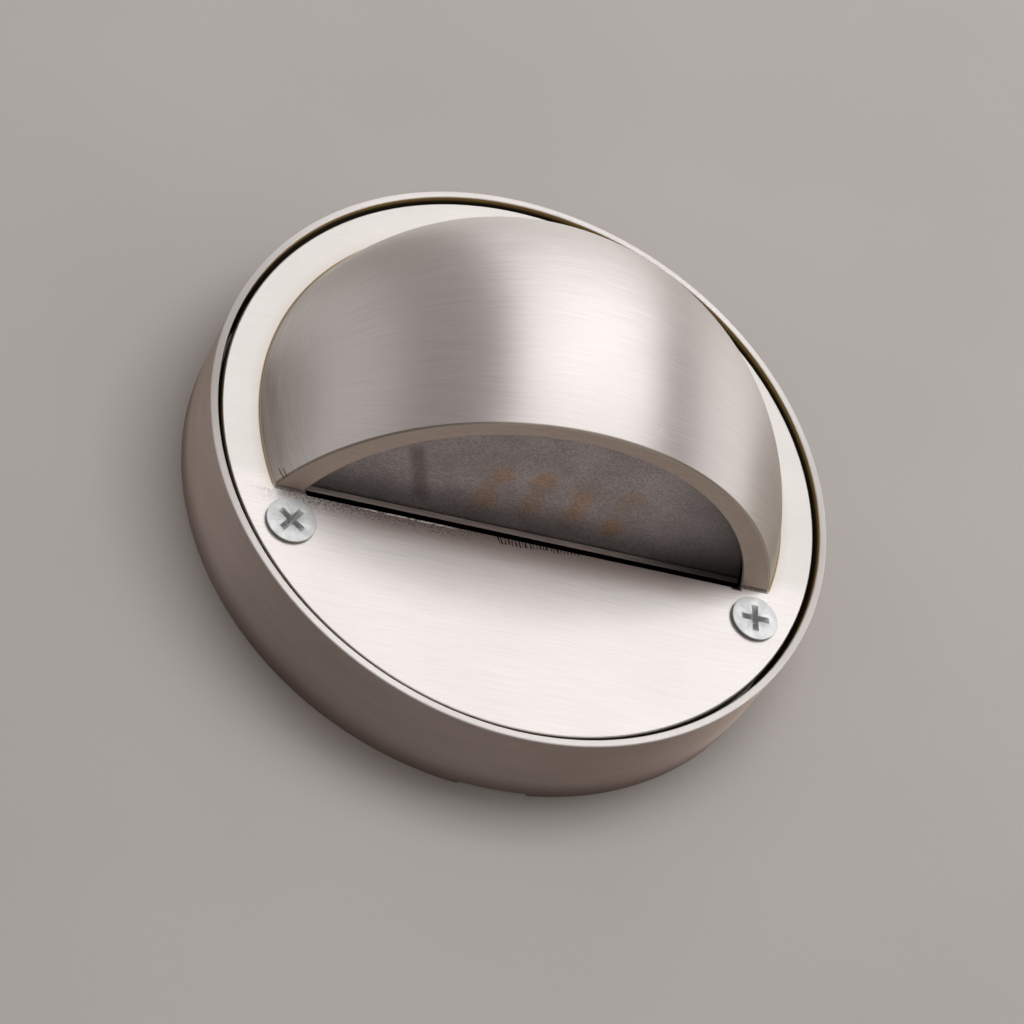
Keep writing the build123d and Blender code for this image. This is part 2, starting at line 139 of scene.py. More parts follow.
class StepLightFinishes(bpy.types.PropertyGroup):
    """Colours and wear of the finishes."""

    steel: colour("Steel", "Brushed stainless steel of the ring and casting", "#E5E0DE")
    # Amber also tints the faint painted shadow beside the hood's base
    amber: colour("Amber", "Tint of thin polish residue in corners", "#C2A565")
    # Grime also paints shade in the gaps, the countersinks and at the feet
    grime_and_shade: colour("Grime", "Dark residue deep in gaps and pits", "#241A12")
    zinc: colour("Zinc", "Zinc plating of the screws", "#D4D6D7")
    lens: colour("Lens", "Frosted acrylic of the lens", "#F0E5E6")
    plastic: colour("Plastic", "Black glass-filled nylon of the lamp module", "#161617")
    phosphor: colour("Phosphor", "Yellow silicone on the chips", "#E8A23A")
    wall: colour("Wall", "Paint of the wall behind the light", "#ADA8A5")
    brushing: share("Brushing", "Strength of the brushed streaks", 0.6)
    # Wear also sets the strength of painted shade under the edge, at its right end and at the feet, and of
    # the painted shadow beside the hood
    wear_and_shade: share("Wear", "Amount of pits, nicks and stains", 0.5)


def power(name, place, default):
    return FloatProperty(
        name=name, description=f"Power of the soft box {place}, in watts", default=default, min=0
    )


class StepLightStudio(bpy.types.PropertyGroup):
    """Lamps and surroundings."""

    front: power("Front", "in front", 4.3)
    above: power("Above", "above", 0.08)
    right: power("Right", "on the right", 1.75)
    left: power("Left", "on the left", 1.1)
    around: share("Around", "Brightness of the surroundings", 0.43)


# ---------------------------------------------------------------- modelling by hand, in code


def deselect():
    if bpy.context.object and bpy.context.object.mode == "EDIT":
        bpy.ops.object.mode_set(mode="OBJECT")
    bpy.ops.object.select_all(action="DESELECT")


def activate(piece):
    """Select one object alone, as a click on it does."""
    deselect()
    piece.select_set(True)
    bpy.context.view_layer.objects.active = piece


def edit(piece, kind="VERT"):
    """Enter edit mode on one object, with nothing selected."""
    activate(piece)
    bpy.ops.object.mode_set(mode="EDIT")
    bpy.ops.mesh.select_mode(type=kind)
    bpy.ops.mesh.select_all(action="DESELECT")


def leave():
    bpy.ops.object.mode_set(mode="OBJECT")


def pick(piece, kind, test):
    """Select the vertices, edges or faces that pass a test, in edit mode."""
    mesh = bmesh.from_edit_mesh(piece.data)
    for item in getattr(mesh, kind):
        item.select_set(bool(test(item)))
    mesh.select_flush_mode()
    bmesh.update_edit_mesh(piece.data)


def settle(piece, name):
    """Name a new object and put its place into its mesh."""
    piece.name = piece.data.name = name
    activate(piece)
    bpy.ops.object.transform_apply(location=True, rotation=True, scale=True)
    return piece


def extrude(step):
    """Draw the selection out by a step, in edit mode."""
    bpy.ops.mesh.extrude_region_move(TRANSFORM_OT_translate={"value": step})


def draw_chain(name, points):
    """Draw a chain of edges, from a small plane that is merged to its first point."""
    deselect()
    bpy.ops.mesh.primitive_plane_add(size=mm, location=points[0])
    piece = settle(bpy.context.object, name)
    edit(piece)
    bpy.ops.mesh.select_all(action="SELECT")
    bpy.ops.mesh.merge(type="CENTER")
    for start, end in zip(points, points[1:]):
        step = Vector(end) - Vector(start)
        extrude(step)
    leave()
    return piece


def merge_doubles():
    """Merge the points that lie on each other, in edit mode."""
    bpy.ops.mesh.select_all(action="SELECT")
    bpy.ops.mesh.remove_doubles(threshold=same_point)


def clean():
    """Merge doubles and turn the faces outwards, in edit mode."""
    merge_doubles()
    bpy.ops.mesh.normals_make_consistent(inside=False)


def face_forward(piece):
    """Turn the faces of an open sheet towards the front, -Y."""
    edit(piece, "FACE")
    bpy.ops.mesh.select_all(action="SELECT")
    bpy.ops.mesh.normals_make_consistent(inside=False)
    if bmesh.from_edit_mesh(piece.data).faces[:][0].normal.y > 0:
        bpy.ops.mesh.flip_normals()
    leave()


def spin(piece, centre, axis, angle, steps):
    """Spin a drawn chain round an axis."""
    edit(piece)
    bpy.ops.mesh.select_all(action="SELECT")
    bpy.ops.mesh.spin(steps=steps, angle=angle, center=centre, axis=axis)
    clean()
    leave()
    return piece


def turned(name, outline, at=(0.0, 0.0), steps=96):
    """Turn a closed outline of (radius, depth) points round a line along Y, as on a lathe."""
    points = [(at[0] + r, y, at[1]) for r, y in outline + outline[:1]]
    piece = draw_chain(name, points)
    return spin(piece, (at[0], 0, at[1]), (0, 1, 0), 2 * pi, steps)


def arc(centre, radius, start, end, steps):
    """Points along a circular arc, in degrees."""
    angles = [radians(start + (end - start) * i / steps) for i in range(steps + 1)]
    return [(centre[0] + radius * cos(a), centre[1] + radius * sin(a)) for a in angles]


def cut(piece, place, normal):
    """Bisect a closed piece, keep the side that the normal points away from, and close it."""
    edit(piece)
    bpy.ops.mesh.select_all(action="SELECT")
    bpy.ops.mesh.bisect(plane_co=place, plane_no=normal, use_fill=True, clear_outer=True)
    leave()
    return piece


def modify(piece, kind, **settings):
    """Add a modifier, set it and apply it."""
    activate(piece)
    bpy.ops.object.modifier_add(type=kind)
    modifier = piece.modifiers[-1]
    for name, value in settings.items():
        setattr(modifier, name, value)
    bpy.ops.object.modifier_apply(modifier=modifier.name)
    return piece


def combine(piece, tool, how):
    """Join, cut or intersect two closed pieces, and take the tool away."""
    modify(piece, "BOOLEAN", operation=how, solver="EXACT", object=tool)
    bpy.data.objects.remove(tool)
    return piece


def tidy_flats(piece, angle=0.05):
    """Merge the slivers and the flat faces that cuts have left in strips."""
    edit(piece, "FACE")
    bpy.ops.mesh.select_all(action="SELECT")
    bpy.ops.mesh.remove_doubles(threshold=2e-6)
    bpy.ops.mesh.dissolve_degenerate(threshold=1e-6)
    bpy.ops.mesh.dissolve_limited(angle_limit=radians(angle))
    leave()


def merge_piece(piece, other):
    """Put another closed shell into the same object."""
    activate(piece)
    other.select_set(True)
    bpy.ops.object.join()
    return piece


def finish_piece(piece, body, material, nodes, crease=30.0):
    """Smooth the piece, give it its material and let it stand for its nodes."""
    activate(piece)
    bpy.ops.object.shade_smooth_by_angle(angle=radians(crease))
    modify(piece, "WEIGHTED_NORMAL", keep_sharp=True)
    piece.data.materials.clear()
    piece.data.materials.append(material)
    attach(piece, body)
    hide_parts(*nodes)
    return piece


def merged_copy(node, name, bevel=0.0):
    """Copy a node's mesh, merge its loose triangles into clean faces and soften its edges."""
    activate(frame["nodes"][node])
    bpy.ops.object.duplicate()
    piece = bpy.context.object
    piece.name = piece.data.name = name
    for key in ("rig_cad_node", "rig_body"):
        del piece[key]
    piece.parent = None
    edit(piece)
    bpy.ops.mesh.select_all(action="SELECT")
    bpy.ops.mesh.remove_doubles(threshold=1e-6)
    bpy.ops.mesh.dissolve_limited(angle_limit=radians(0.2))
    leave()
    if bevel:
        modify(piece, "BEVEL", width=bevel, segments=2, limit_method="ANGLE",
               angle_limit=radians(40), use_clamp_overlap=True)
    return piece


def plate_face(sizes):
    """Depth of the faceplate's face."""
    return -(sizes.ring_depth - sizes.plate_recess)


# ---------------------------------------------------------------- finishes


def new_material(name):
    """An empty material with a surface shader, and its node tree."""
    material = bpy.data.materials.new(name)
    material.use_nodes = True
    tree = material.node_tree
    tree.nodes.clear()
    return material, tree


def add(tree, kind, inputs=None, **settings):
    """Add a node, set it, and fill its sockets with values or links."""
    node = tree.nodes.new(kind)
    for name, value in settings.items():
        setattr(node, name, value)
    for key, value in (inputs or {}).items():
        if isinstance(value, bpy.types.NodeSocket):
            tree.links.new(value, node.inputs[key])
        else:
            node.inputs[key].default_value = value
    return node


def sums(tree, operation, *values):
    """One arithmetic step on numbers or sockets."""
    return add(tree, "ShaderNodeMath", dict(enumerate(values)), operation=operation).outputs[0]


def times(tree, first, *others):
    """Product of numbers and sockets."""
    for other in others:
        first = sums(tree, "MULTIPLY", first, other)
    return first


def spread(tree, value, low, high, to_low=0.0, to_high=1.0):
    """Map a range of a value smoothly onto another one."""
    node = add(tree, "ShaderNodeMapRange",
               {"Value": value, "From Min": low, "From Max": high, "To Min": to_low, "To Max": to_high},
               interpolation_type="SMOOTHSTEP")
    return node.outputs[0]


def window(tree, value, low, high, soft):
    """One between two limits, falling to nothing over a soft margin outside them."""
    return times(tree, spread(tree, value, low - soft, low), spread(tree, value, high, high + soft, 1.0, 0.0))


def stroke(tree, u, v, start, end, width):
    """One straight mark between two points of a plane, given in millimetres."""
    (u0, v0), (u1, v1) = start, end
    reach = sqrt((u1 - u0) ** 2 + (v1 - v0) ** 2)
    du, dv = (u1 - u0) / reach, (v1 - v0) / reach
    du_part = times(tree, sums(tree, "SUBTRACT", u, u0 * mm), du)
    along = sums(tree, "ADD", du_part, times(tree, sums(tree, "SUBTRACT", v, v0 * mm), dv))
    dv_part = times(tree, sums(tree, "SUBTRACT", u, u0 * mm), dv)
    across = sums(tree, "ABSOLUTE",
                  sums(tree, "SUBTRACT", dv_part, times(tree, sums(tree, "SUBTRACT", v, v0 * mm), du)))
    body = spread(tree, across, 0.25 * width * mm, 0.5 * width * mm, 1.0, 0.0)
    return times(tree, body, window(tree, along, 0.1 * mm, (reach - 0.1) * mm, 0.1 * mm))


def highest(tree, first, *others):
    """Largest of several numbers or sockets."""
    for other in others:
        first = sums(tree, "MAXIMUM", first, other)
    return first


def grain(tree, vector, detail=2.0, roughness=0.5):
    """Noise over coordinates that are already in units of its own size."""
    node = add(tree, "ShaderNodeTexNoise",
               {"Vector": vector, "Scale": 1.0, "Detail": detail, "Roughness": roughness})
    return node.outputs[0]


def blend(tree, factor, one, other, mode="MIX"):
    """Mix two colours."""
    return add(tree, "ShaderNodeMix", {0: factor, 6: one, 7: other}, data_type="RGBA",
               blend_type=mode).outputs[2]


def axes(tree):
    """Object coordinates, and their three parts."""
    place = add(tree, "ShaderNodeTexCoord").outputs["Object"]
    parts = add(tree, "ShaderNodeSeparateXYZ", {0: place})
    return place, parts.outputs[0], parts.outputs[1], parts.outputs[2]


def scaled(tree, x, y, z, sizes):
    """Coordinates counted in millimetre sizes of a pattern along each axis."""
    parts = [sums(tree, "MULTIPLY", value, 1 / (size * mm)) for value, size in zip((x, y, z), sizes)]
    return add(tree, "ShaderNodeCombineXYZ", dict(enumerate(parts))).outputs[0]


def surface(tree, shader_inputs, height=None, depth=0.0, tangent=None):
    """Principled shader with an optional bump of a real depth, wired to the output."""
    inputs = dict(shader_inputs)
    if height is not None:
        bump = add(tree, "ShaderNodeBump", {"Height": height, "Distance": depth, "Strength": 1.0})
        inputs["Normal"] = bump.outputs[0]
    if tangent is not None:
        inputs["Tangent"] = tangent
    shader = add(tree, "ShaderNodeBsdfPrincipled", inputs)
    add(tree, "ShaderNodeOutputMaterial", {"Surface": shader.outputs[0]})
    return shader


def from_axis(tree, x, z):
    """Distance from the light's middle axis."""
    return sums(tree, "SQRT", sums(tree, "ADD", times(tree, x, x), times(tree, z, z)))


def from_screw(tree, sizes, side, z):
    """Distance from the axis of the nearer face screw, by distance to the side."""
    screw_x, screw_z = screw_places(sizes)["right"]
    return from_axis(tree, sums(tree, "SUBTRACT", side, screw_x), sums(tree, "SUBTRACT", z, screw_z))


def brush_lines(tree, along, across, fine, broad):
    """Fine and broad brush lines; each is a length and a width in millimetres."""
    thin = grain(tree, scaled(tree, along, across, 0.0, (*fine, 1)), 3.0, 0.6)
    wide = grain(tree, scaled(tree, along, across, 0.0, (*broad, 1)), 2.0)
    return sums(tree, "ADD", times(tree, thin, 0.82), times(tree, wide, 0.18))


def cells(tree, x, y, z, size, reach, lowest, highest):
    """Small round marks of a reach in cell sizes; the fewer cells pass, the fewer marks."""
    node = add(tree, "ShaderNodeTexVoronoi", {"Vector": scaled(tree, x, y, z, (size,) * 3), "Scale": 1.0})
    round_mark = spread(tree, node.outputs["Distance"], 0.4 * reach, reach, 1.0, 0.0)
    return times(tree, round_mark, spread(tree, node.outputs["Color"], lowest, highest))


def across_brushing(tree, along):
    """Direction at right angles to the brush lines: their highlight spreads this way."""
    normal = add(tree, "ShaderNodeNewGeometry").outputs["Normal"]
    return add(tree, "ShaderNodeVectorMath", {0: normal, 1: along}, operation="CROSS_PRODUCT").outputs[0]


# Ends of the two file strokes on the left foot, as depth and height in millimetres
file_strokes = (((-16.9, -13.4), (-17.3, -15.3)), ((-17.7, -13.8), (-17.85, -15.3)))


def casting_steel(sizes, finishes):
    """Stainless steel casting, brushed level with a fine belt.

    Level lines spread every reflection up and down, so the hood carries one soft
    upright band, and the plate stays even. Next to the hood's base the lines turn
    and run round. Pits and short nicks gather under the aperture, thin polish
    leaves an amber line in the corners, and the feet hold some dark residue.
    Painted shade darkens the gaps, the countersinks, the feet, the right end of the
    edge, the plate under the edge and above the lip, and the faces that look up or
    down; small flecks and the burr are painted near white as glints.
    """
    material, tree = new_material("brushed_stainless_casting")
    _, x, y, z = axes(tree)
    face = plate_face(sizes)
    edge = sizes.lip_level - sizes.aperture_drop
    root = sizes.plate_radius - sizes.root_inset
    _, _, hood_radius, centre = hood_balls(sizes)[0]
    radius = from_axis(tree, x, z)
    side = sums(tree, "ABSOLUTE", x)
    # On the hood the lines keep their spacing over the curve
    lift = times(tree, sums(tree, "ARCTAN2", z, sums(tree, "SUBTRACT", centre, y)), hood_radius)
    on_hood = spread(tree, y, face - 1.6 * mm, face - 0.1 * mm, 1.0, 0.0)
    sway = times(tree, grain(tree, scaled(tree, x, y, z, (22, 30, 30)), 1.0), 2.2 * mm)
    level = sums(tree, "ADD", add(tree, "ShaderNodeMix", {0: on_hood, 2: z, 3: lift}).outputs[0], sway)
    # Real brush lines are 0.05 mm wide: drawn 0.2 mm wide so that they show.
    straight = brush_lines(tree, x, level, (9, 0.2), (26, 1.1))
    turn = times(tree, sums(tree, "ARCTAN2", x, z), root)
    around = brush_lines(tree, turn, radius, (7, 0.2), (18, 0.9))
    by_root = times(tree, spread(tree, radius, root - 6 * mm, root - 1 * mm), on_hood)
    streak = add(tree, "ShaderNodeMix", {0: by_root, 2: straight, 3: around}).outputs[0]
    cloud = grain(tree, scaled(tree, x, y, z, (14, 14, 9)), 2.0)
    # Patches beside the right foot that a cloth has buffed: the lines fade there
    buffed = times(tree, window(tree, x, 41 * mm, 45 * mm, 2.5 * mm),
                   window(tree, z, -13 * mm, 4 * mm, 4 * mm),
                   spread(tree, grain(tree, scaled(tree, x, y, z, (5, 5, 5)), 2.0), 0.44, 0.56))
    above = times(tree, spread(tree, y, face - 0.6 * mm, face - 0.2 * mm),
                  spread(tree, z, edge, edge + 4 * mm), 0.6)
    faded = highest(tree, above, times(tree, buffed, 0.85))
    streak = add(tree, "ShaderNodeMix", {0: faded, 2: streak, 3: 0.55}).outputs[0]
    # Pits of about 0.15 mm, close together under the left of the straight edge
    below = times(tree, spread(tree, z, edge - 0.05 * mm, edge + 0.1 * mm, 1.0, 0.0),
                  spread(tree, y, face - 0.3 * mm, face - 0.1 * mm))
    thick = times(tree, spread(tree, z, edge - 3.2 * mm, edge - 0.3 * mm),
                  window(tree, x, -32 * mm, -14 * mm, 14 * mm))
    dense = times(tree, cells(tree, x, y, z, 0.25, 0.7, 0.3, 0.45), thick, 0.65)
    loose = times(tree, cells(tree, x, y, z, 1.2, 0.11, 0.56, 0.66),
                  spread(tree, z, edge - 10 * mm, edge - 1 * mm))
    pit = times(tree, sums(tree, "MAXIMUM", dense, loose), below)
    # Short upright nicks that the cutter left in the middle of that edge, longest on the left
    slope = sums(tree, "ADD", z, times(tree, x, -0.065))
    ragged = grain(tree, scaled(tree, x, 0.0, 0.0, (0.5, 1, 1)), 0.0)
    jitter = times(tree, grain(tree, scaled(tree, x, 0.0, z, (0.8, 1, 2)), 1.0), 0.7 * mm)
    lean = sums(tree, "ADD", sums(tree, "ADD", x, times(tree, z, 0.25)), jitter)
    nick = spread(tree, sums(tree, "COSINE", times(tree, lean, 2 * pi / (0.56 * mm))), 0.1, 0.6)
    nick = times(tree, nick, window(tree, x, -4.6 * mm, 8.2 * mm, 0.6 * mm), below,
                 spread(tree, sums(tree, "ADD", slope, times(tree, ragged, 0.8 * mm)), edge - 0.6 * mm,
                        edge - 0.4 * mm))
    # Thin torn burr along the left part of the edge
    torn = spread(tree, grain(tree, scaled(tree, x, 0.0, z, (0.9, 1, 0.35)), 2.0), 0.42, 0.48)
    burr = times(tree, torn, window(tree, x, -25 * mm, -12.5 * mm, 1.5 * mm),
                 window(tree, z, edge - 0.26 * mm, edge, 0.06 * mm))
    # Small flecks and two short strokes on the hood, where painted glints go
    painted_glint = times(tree, cells(tree, x, y, z, 1.5, 0.1, 0.64, 0.7), on_hood,
                  spread(tree, grain(tree, scaled(tree, x, y, z, (8, 8, 8)), 1.0), 0.52, 0.6))
    painted_glint = highest(tree, painted_glint, times(tree, stroke(tree, x, z, (8.9, -12.6), (9.75, -11.35), 0.14), on_hood),
                    times(tree, stroke(tree, x, z, (9.35, -12.5), (9.95, -11.9), 0.1), on_hood))
    # Two file strokes on the outside of the left foot
    left = times(tree, spread(tree, x, -30 * mm, -20 * mm, 1.0, 0.0), on_hood)
    left = times(tree, left, spread(tree, z, sizes.lip_level, sizes.lip_level + 0.15 * mm))
    filed = times(tree, highest(tree, *(stroke(tree, y, z, *ends, 0.34) for ends in file_strokes)), left)
    # Dark marks: painted shade on the plate's edge in the gap beside the ring, and dark residue with painted
    # shade along the hood's feet
    inner_end, corner = foot_span(sizes)
    gap = times(tree, spread(tree, radius, sizes.plate_radius - 0.15 * mm, sizes.plate_radius - 0.02 * mm),
                spread(tree, y, face + 0.2 * mm, face + 0.6 * mm))
    clot = spread(tree, grain(tree, scaled(tree, x, y, z, (0.5, 0.5, 0.5)), 2.0), 0.36, 0.5)
    foot = times(tree, window(tree, side, inner_end, corner + 0.2 * mm, 0.3 * mm),
                 window(tree, z, sizes.lip_level - 0.35 * mm, sizes.lip_level - 0.02 * mm, 0.12 * mm),
                 window(tree, y, face - 0.4 * mm, face + 1 * mm, 0.1 * mm),
                 sums(tree, "ADD", times(tree, clot, 0.25), 0.4))
    # Painted shade at the right end of the straight edge
    slot_end = times(tree, window(tree, x, inner_end - 1.1 * mm, inner_end + 0.1 * mm, 0.5 * mm),
                     window(tree, z, edge - 0.2 * mm, edge + 1 * mm, 0.3 * mm),
                     spread(tree, y, face - 0.2 * mm, face - 0.05 * mm))
    dirt_and_shade = highest(tree, times(tree, pit, sums(tree, "SUBTRACT", 1.0, burr)), nick, foot, slot_end,
                   times(tree, filed, 0.75))
    dirt_and_shade = times(tree, dirt_and_shade, min(1.0, 2 * finishes.wear_and_shade))
    # The countersinks are painted black behind the heads: painted shade
    seat = from_screw(tree, sizes, side, z)
    seat = times(tree, spread(tree, seat, 4.2 * mm, 4.5 * mm, 1.0, 0.0),
                 spread(tree, y, face + 0.02 * mm, face + 0.12 * mm))
    dirt_and_shade = highest(tree, dirt_and_shade, gap, seat)
    # Amber line of thin residue in the corner round the hood, and a faint brown shadow beside it
    normal = add(tree, "ShaderNodeSeparateXYZ", {0: add(tree, "ShaderNodeNewGeometry").outputs["Normal"]})
    beside = times(tree, spread(tree, y, face - 0.5 * mm, face - 0.3 * mm),
                   spread(tree, z, edge, edge + 1 * mm))
    line = times(tree, window(tree, radius, root + 0.12 * mm, root + 0.26 * mm, 0.1 * mm), beside,
                 1.7 * finishes.wear_and_shade)
    shadow = times(tree, spread(tree, radius, root, root + 2.2 * mm, 0.15, 0.0), beside, 2 * finishes.wear_and_shade)
    # The lip's rounded edge that looks down is painted dark brown: painted shade over its highlight
    lip = times(tree, window(tree, z, sizes.lip_level + 0.02 * mm, sizes.lip_level + 0.3 * mm, 0.1 * mm),
                spread(tree, y, face - 0.6 * mm, face - 0.2 * mm, 1.0, 0.0),
                spread(tree, normal.outputs[2], -0.96, -0.8))
    # The faces that look down are painted browner: painted shade
    under = spread(tree, normal.outputs[2], -0.98, -0.8, 0.75, 0.0)
    tone = spread(tree, streak, 0.3, 0.7, 1 - 0.2 * finishes.brushing, 1 + 0.06 * finishes.brushing)
    # Faces that look up are painted up to a fifth darker: painted shade
    tone = times(tree, tone, spread(tree, cloud, 0.3, 0.7, 0.965, 1.0),
                 spread(tree, normal.outputs[2], 0.1, 0.8, 1.0, 0.8))
    metal = blend(tree, 1.0, list(finishes.steel), tone, "MULTIPLY")
    metal = blend(tree, under, metal, linear("#D6C4B4"), "MULTIPLY")
    # Above the lip the plate is painted a little darker than below it: painted shade
    metal = blend(tree, times(tree, above, 1 / 0.6), metal, linear("#EEEFEE"), "MULTIPLY")
    metal = blend(tree, highest(tree, line, shadow), metal, list(finishes.amber), "MULTIPLY")
    metal = blend(tree, times(tree, lip, 0.75), metal, linear("#8E7F6C"), "MULTIPLY")
    # The plate under the straight edge is painted darker and browner: painted shade
    painted_shade_under_edge = times(tree, below, spread(tree, z, edge - 5.5 * mm, edge - 1.5 * mm),
                  spread(tree, side, 22 * mm, 36 * mm, 1.0, 0.0),
                  1.6 * finishes.wear_and_shade)
    metal = blend(tree, painted_shade_under_edge, metal, linear("#DBCCC9"), "MULTIPLY")
    # Flecks and burr are painted near white: painted glints of torn metal
    painted_glint = times(tree, painted_glint, 0.7)
    metal = blend(tree, highest(tree, painted_glint, burr), metal, linear("#F4F0EC"))
    metal = blend(tree, dirt_and_shade, metal, list(finishes.grime_and_shade))
    # The belt has run smoother over the top of the hood
    smoother = spread(tree, normal.outputs[2], 0.05, 0.7, 1.0, 0.88)
    roughness = times(tree, spread(tree, streak, 0.3, 0.7, 0.49, 0.545), smoother,
                      sums(tree, "SUBTRACT", 1.0, times(tree, burr, 0.4)))
    # The burr curls out of the face
    curl = times(tree, burr, spread(tree, z, edge - 0.4 * mm, edge + 0.1 * mm, 0.0, 9.0))
    height = sums(tree, "SUBTRACT", sums(tree, "ADD", times(tree, streak, 0.25 * finishes.brushing), curl),
                  dirt_and_shade)
    bare = sums(tree, "SUBTRACT", 1.0, highest(tree, painted_glint, dirt_and_shade))
    surface(tree, {"Base Color": metal, "Metallic": bare, "Roughness": roughness, "Anisotropic": 0.89,
                   "Specular Tint": linear("#FBF3E3")},
            height, 0.02 * mm, across_brushing(tree, (1.0, 0.0, 0.0)))
    return material


def turned_steel(sizes, finishes):
    """Stainless steel tube, brushed round on a lathe.

    Round lines draw each reflection across the wall of the ring, so its side
    shades smoothly from light to dark and its rim stays a bright line. The side is
    painted duller and browner than the rim, and darker towards the wall: painted
    shade. The gap behind the rim goes from amber to black, the black painted shade.
    """
    material, tree = new_material("brushed_stainless_tube")
    place, x, y, z = axes(tree)
    front, inner = -sizes.ring_depth, sizes.ring_radius - sizes.ring_wall
    radius = from_axis(tree, x, z)
    # Real brush lines are 0.05 mm wide: drawn 0.16 mm wide so that they show.
    turn = times(tree, sums(tree, "ARCTAN2", x, z), sizes.ring_radius)
    streak = brush_lines(tree, turn, sums(tree, "ADD", y, radius), (8, 0.16), (20, 0.9))
    pit = times(tree, cells(tree, x, y, z, 1.8, 0.1, 0.66, 0.72), finishes.wear_and_shade)
    outside = times(tree, spread(tree, radius, sizes.ring_radius - 0.12 * mm, sizes.ring_radius - 0.02 * mm),
                    spread(tree, y, front + 0.1 * mm, front + 0.35 * mm))
    # The side darkens towards the wall: painted shade
    painted_shade_by_wall = times(tree, outside, spread(tree, y, -5 * mm, 0, 0.0, 0.8))
    inside = spread(tree, radius, inner + 0.04 * mm, inner + 0.16 * mm, 1.0, 0.0)
    amber = times(tree, inside, spread(tree, y, front + 0.05 * mm, front + 0.3 * mm))
    # Deep in the gap behind the rim it is painted black: painted shade
    deep = times(tree, inside, spread(tree, y, front + 0.5 * mm, front + 1.3 * mm))
    cloud = grain(tree, scaled(tree, x, y, z, (16, 4, 16)), 2.0)
    tone = spread(tree, streak, 0.3, 0.7, 1 - 0.16 * finishes.brushing, 1.0)
    tone = times(tree, tone, spread(tree, cloud, 0.3, 0.7, 0.93, 1.0))
    metal = blend(tree, 1.0, list(finishes.steel), tone, "MULTIPLY")
    # The rim is toned a little down, and the side painted browner: painted shade
    metal = blend(tree, sums(tree, "SUBTRACT", 1.0, outside), metal, linear("#EDEDED"), "MULTIPLY")
    metal = blend(tree, outside, metal, linear("#CEC3BF"), "MULTIPLY")
    metal = blend(tree, painted_shade_by_wall, metal, linear("#B5ACA8"), "MULTIPLY")
    metal = blend(tree, amber, metal, list(finishes.amber), "MULTIPLY")
    dirt_and_shade = sums(tree, "MAXIMUM", deep, pit)
    metal = blend(tree, dirt_and_shade, metal, list(finishes.grime_and_shade))
    height = sums(tree, "SUBTRACT", times(tree, streak, 0.25 * finishes.brushing), pit)
    along = add(tree, "ShaderNodeVectorMath", {0: (0.0, 1.0, 0.0), 1: place},
                operation="CROSS_PRODUCT").outputs[0]
    surface(tree, {"Base Color": metal, "Metallic": sums(tree, "SUBTRACT", 1.0, dirt_and_shade),
                   "Roughness": spread(tree, streak, 0.3, 0.7, 0.48, 0.54),
                   "Anisotropic": 0.88, "Specular Tint": linear("#F1E2C4")},
            height, 0.02 * mm, across_brushing(tree, along))
    return material


def zinc_plating(sizes, finishes):
    """Steel screw, zinc plated in a barrel.

    The plating is pale and dull like frost, with small dents from the barrel. The
    cross recess is painted grey and the head's rim darker: painted shade.
    """
    material, tree = new_material("barrel_zinc_plated_steel")
    _, x, y, z = axes(tree)
    cloud = grain(tree, scaled(tree, x, y, z, (1.6, 1.6, 1.6)), 3.0)
    dent = grain(tree, scaled(tree, x, y, z, (0.22, 0.22, 0.22)), 2.0)
    speck = spread(tree, dent, 0.34, 0.46, 0.86, 1.0)
    radius = from_screw(tree, sizes, sums(tree, "ABSOLUTE", x), z)
    top = screws_box[0].y
    sunk = times(tree, spread(tree, y, top + 0.12 * mm, top + 0.5 * mm),
                 spread(tree, radius, 2.4 * mm, 2.6 * mm, 1.0, 0.0))
    rim = times(tree, spread(tree, radius, sizes.head_radius - 0.15 * mm, sizes.head_radius - 0.02 * mm),
                spread(tree, y, top + 0.06 * mm, top + 0.3 * mm))
    metal = blend(tree, 1.0, list(finishes.zinc),
                  times(tree, spread(tree, cloud, 0.3, 0.7, 0.88, 1.0), speck), "MULTIPLY")
    # Painted shade: grey in the cross recess, darker on the head's rim
    metal = blend(tree, times(tree, sunk, 0.4), metal, linear("#A9ACA6"), "MULTIPLY")
    metal = blend(tree, times(tree, rim, 0.7), metal, linear("#9A938E"), "MULTIPLY")
    rough = sums(tree, "SUBTRACT", spread(tree, cloud, 0.3, 0.7, 0.6, 0.5), times(tree, sunk, 0.17))
    # A chalky skin on the zinc scatters part of the light
    surface(tree, {"Base Color": metal, "Metallic": 0.45, "Roughness": rough}, dent, 0.012 * mm)
    return material


def plain_metal(name, tint, roughness, grain_size, depth):
    """Bare metal as it comes off a press, mill or saw: even, with a soft cloud and small marks."""
    material, tree = new_material(name)
    _, x, y, z = axes(tree)
    cloud = grain(tree, scaled(tree, x, y, z, (6 * grain_size,) * 3), 3.0)
    mark = grain(tree, scaled(tree, x, y, z, (grain_size, grain_size, 8 * grain_size)), 2.0)
    metal = blend(tree, 1.0, linear(tint), spread(tree, cloud, 0.3, 0.7, 0.84, 1.0), "MULTIPLY")
    rough = spread(tree, mark, 0.3, 0.7, roughness - 0.06, roughness + 0.06)
    surface(tree, {"Base Color": metal, "Metallic": 1.0, "Roughness": rough}, mark, depth * mm)
    return material


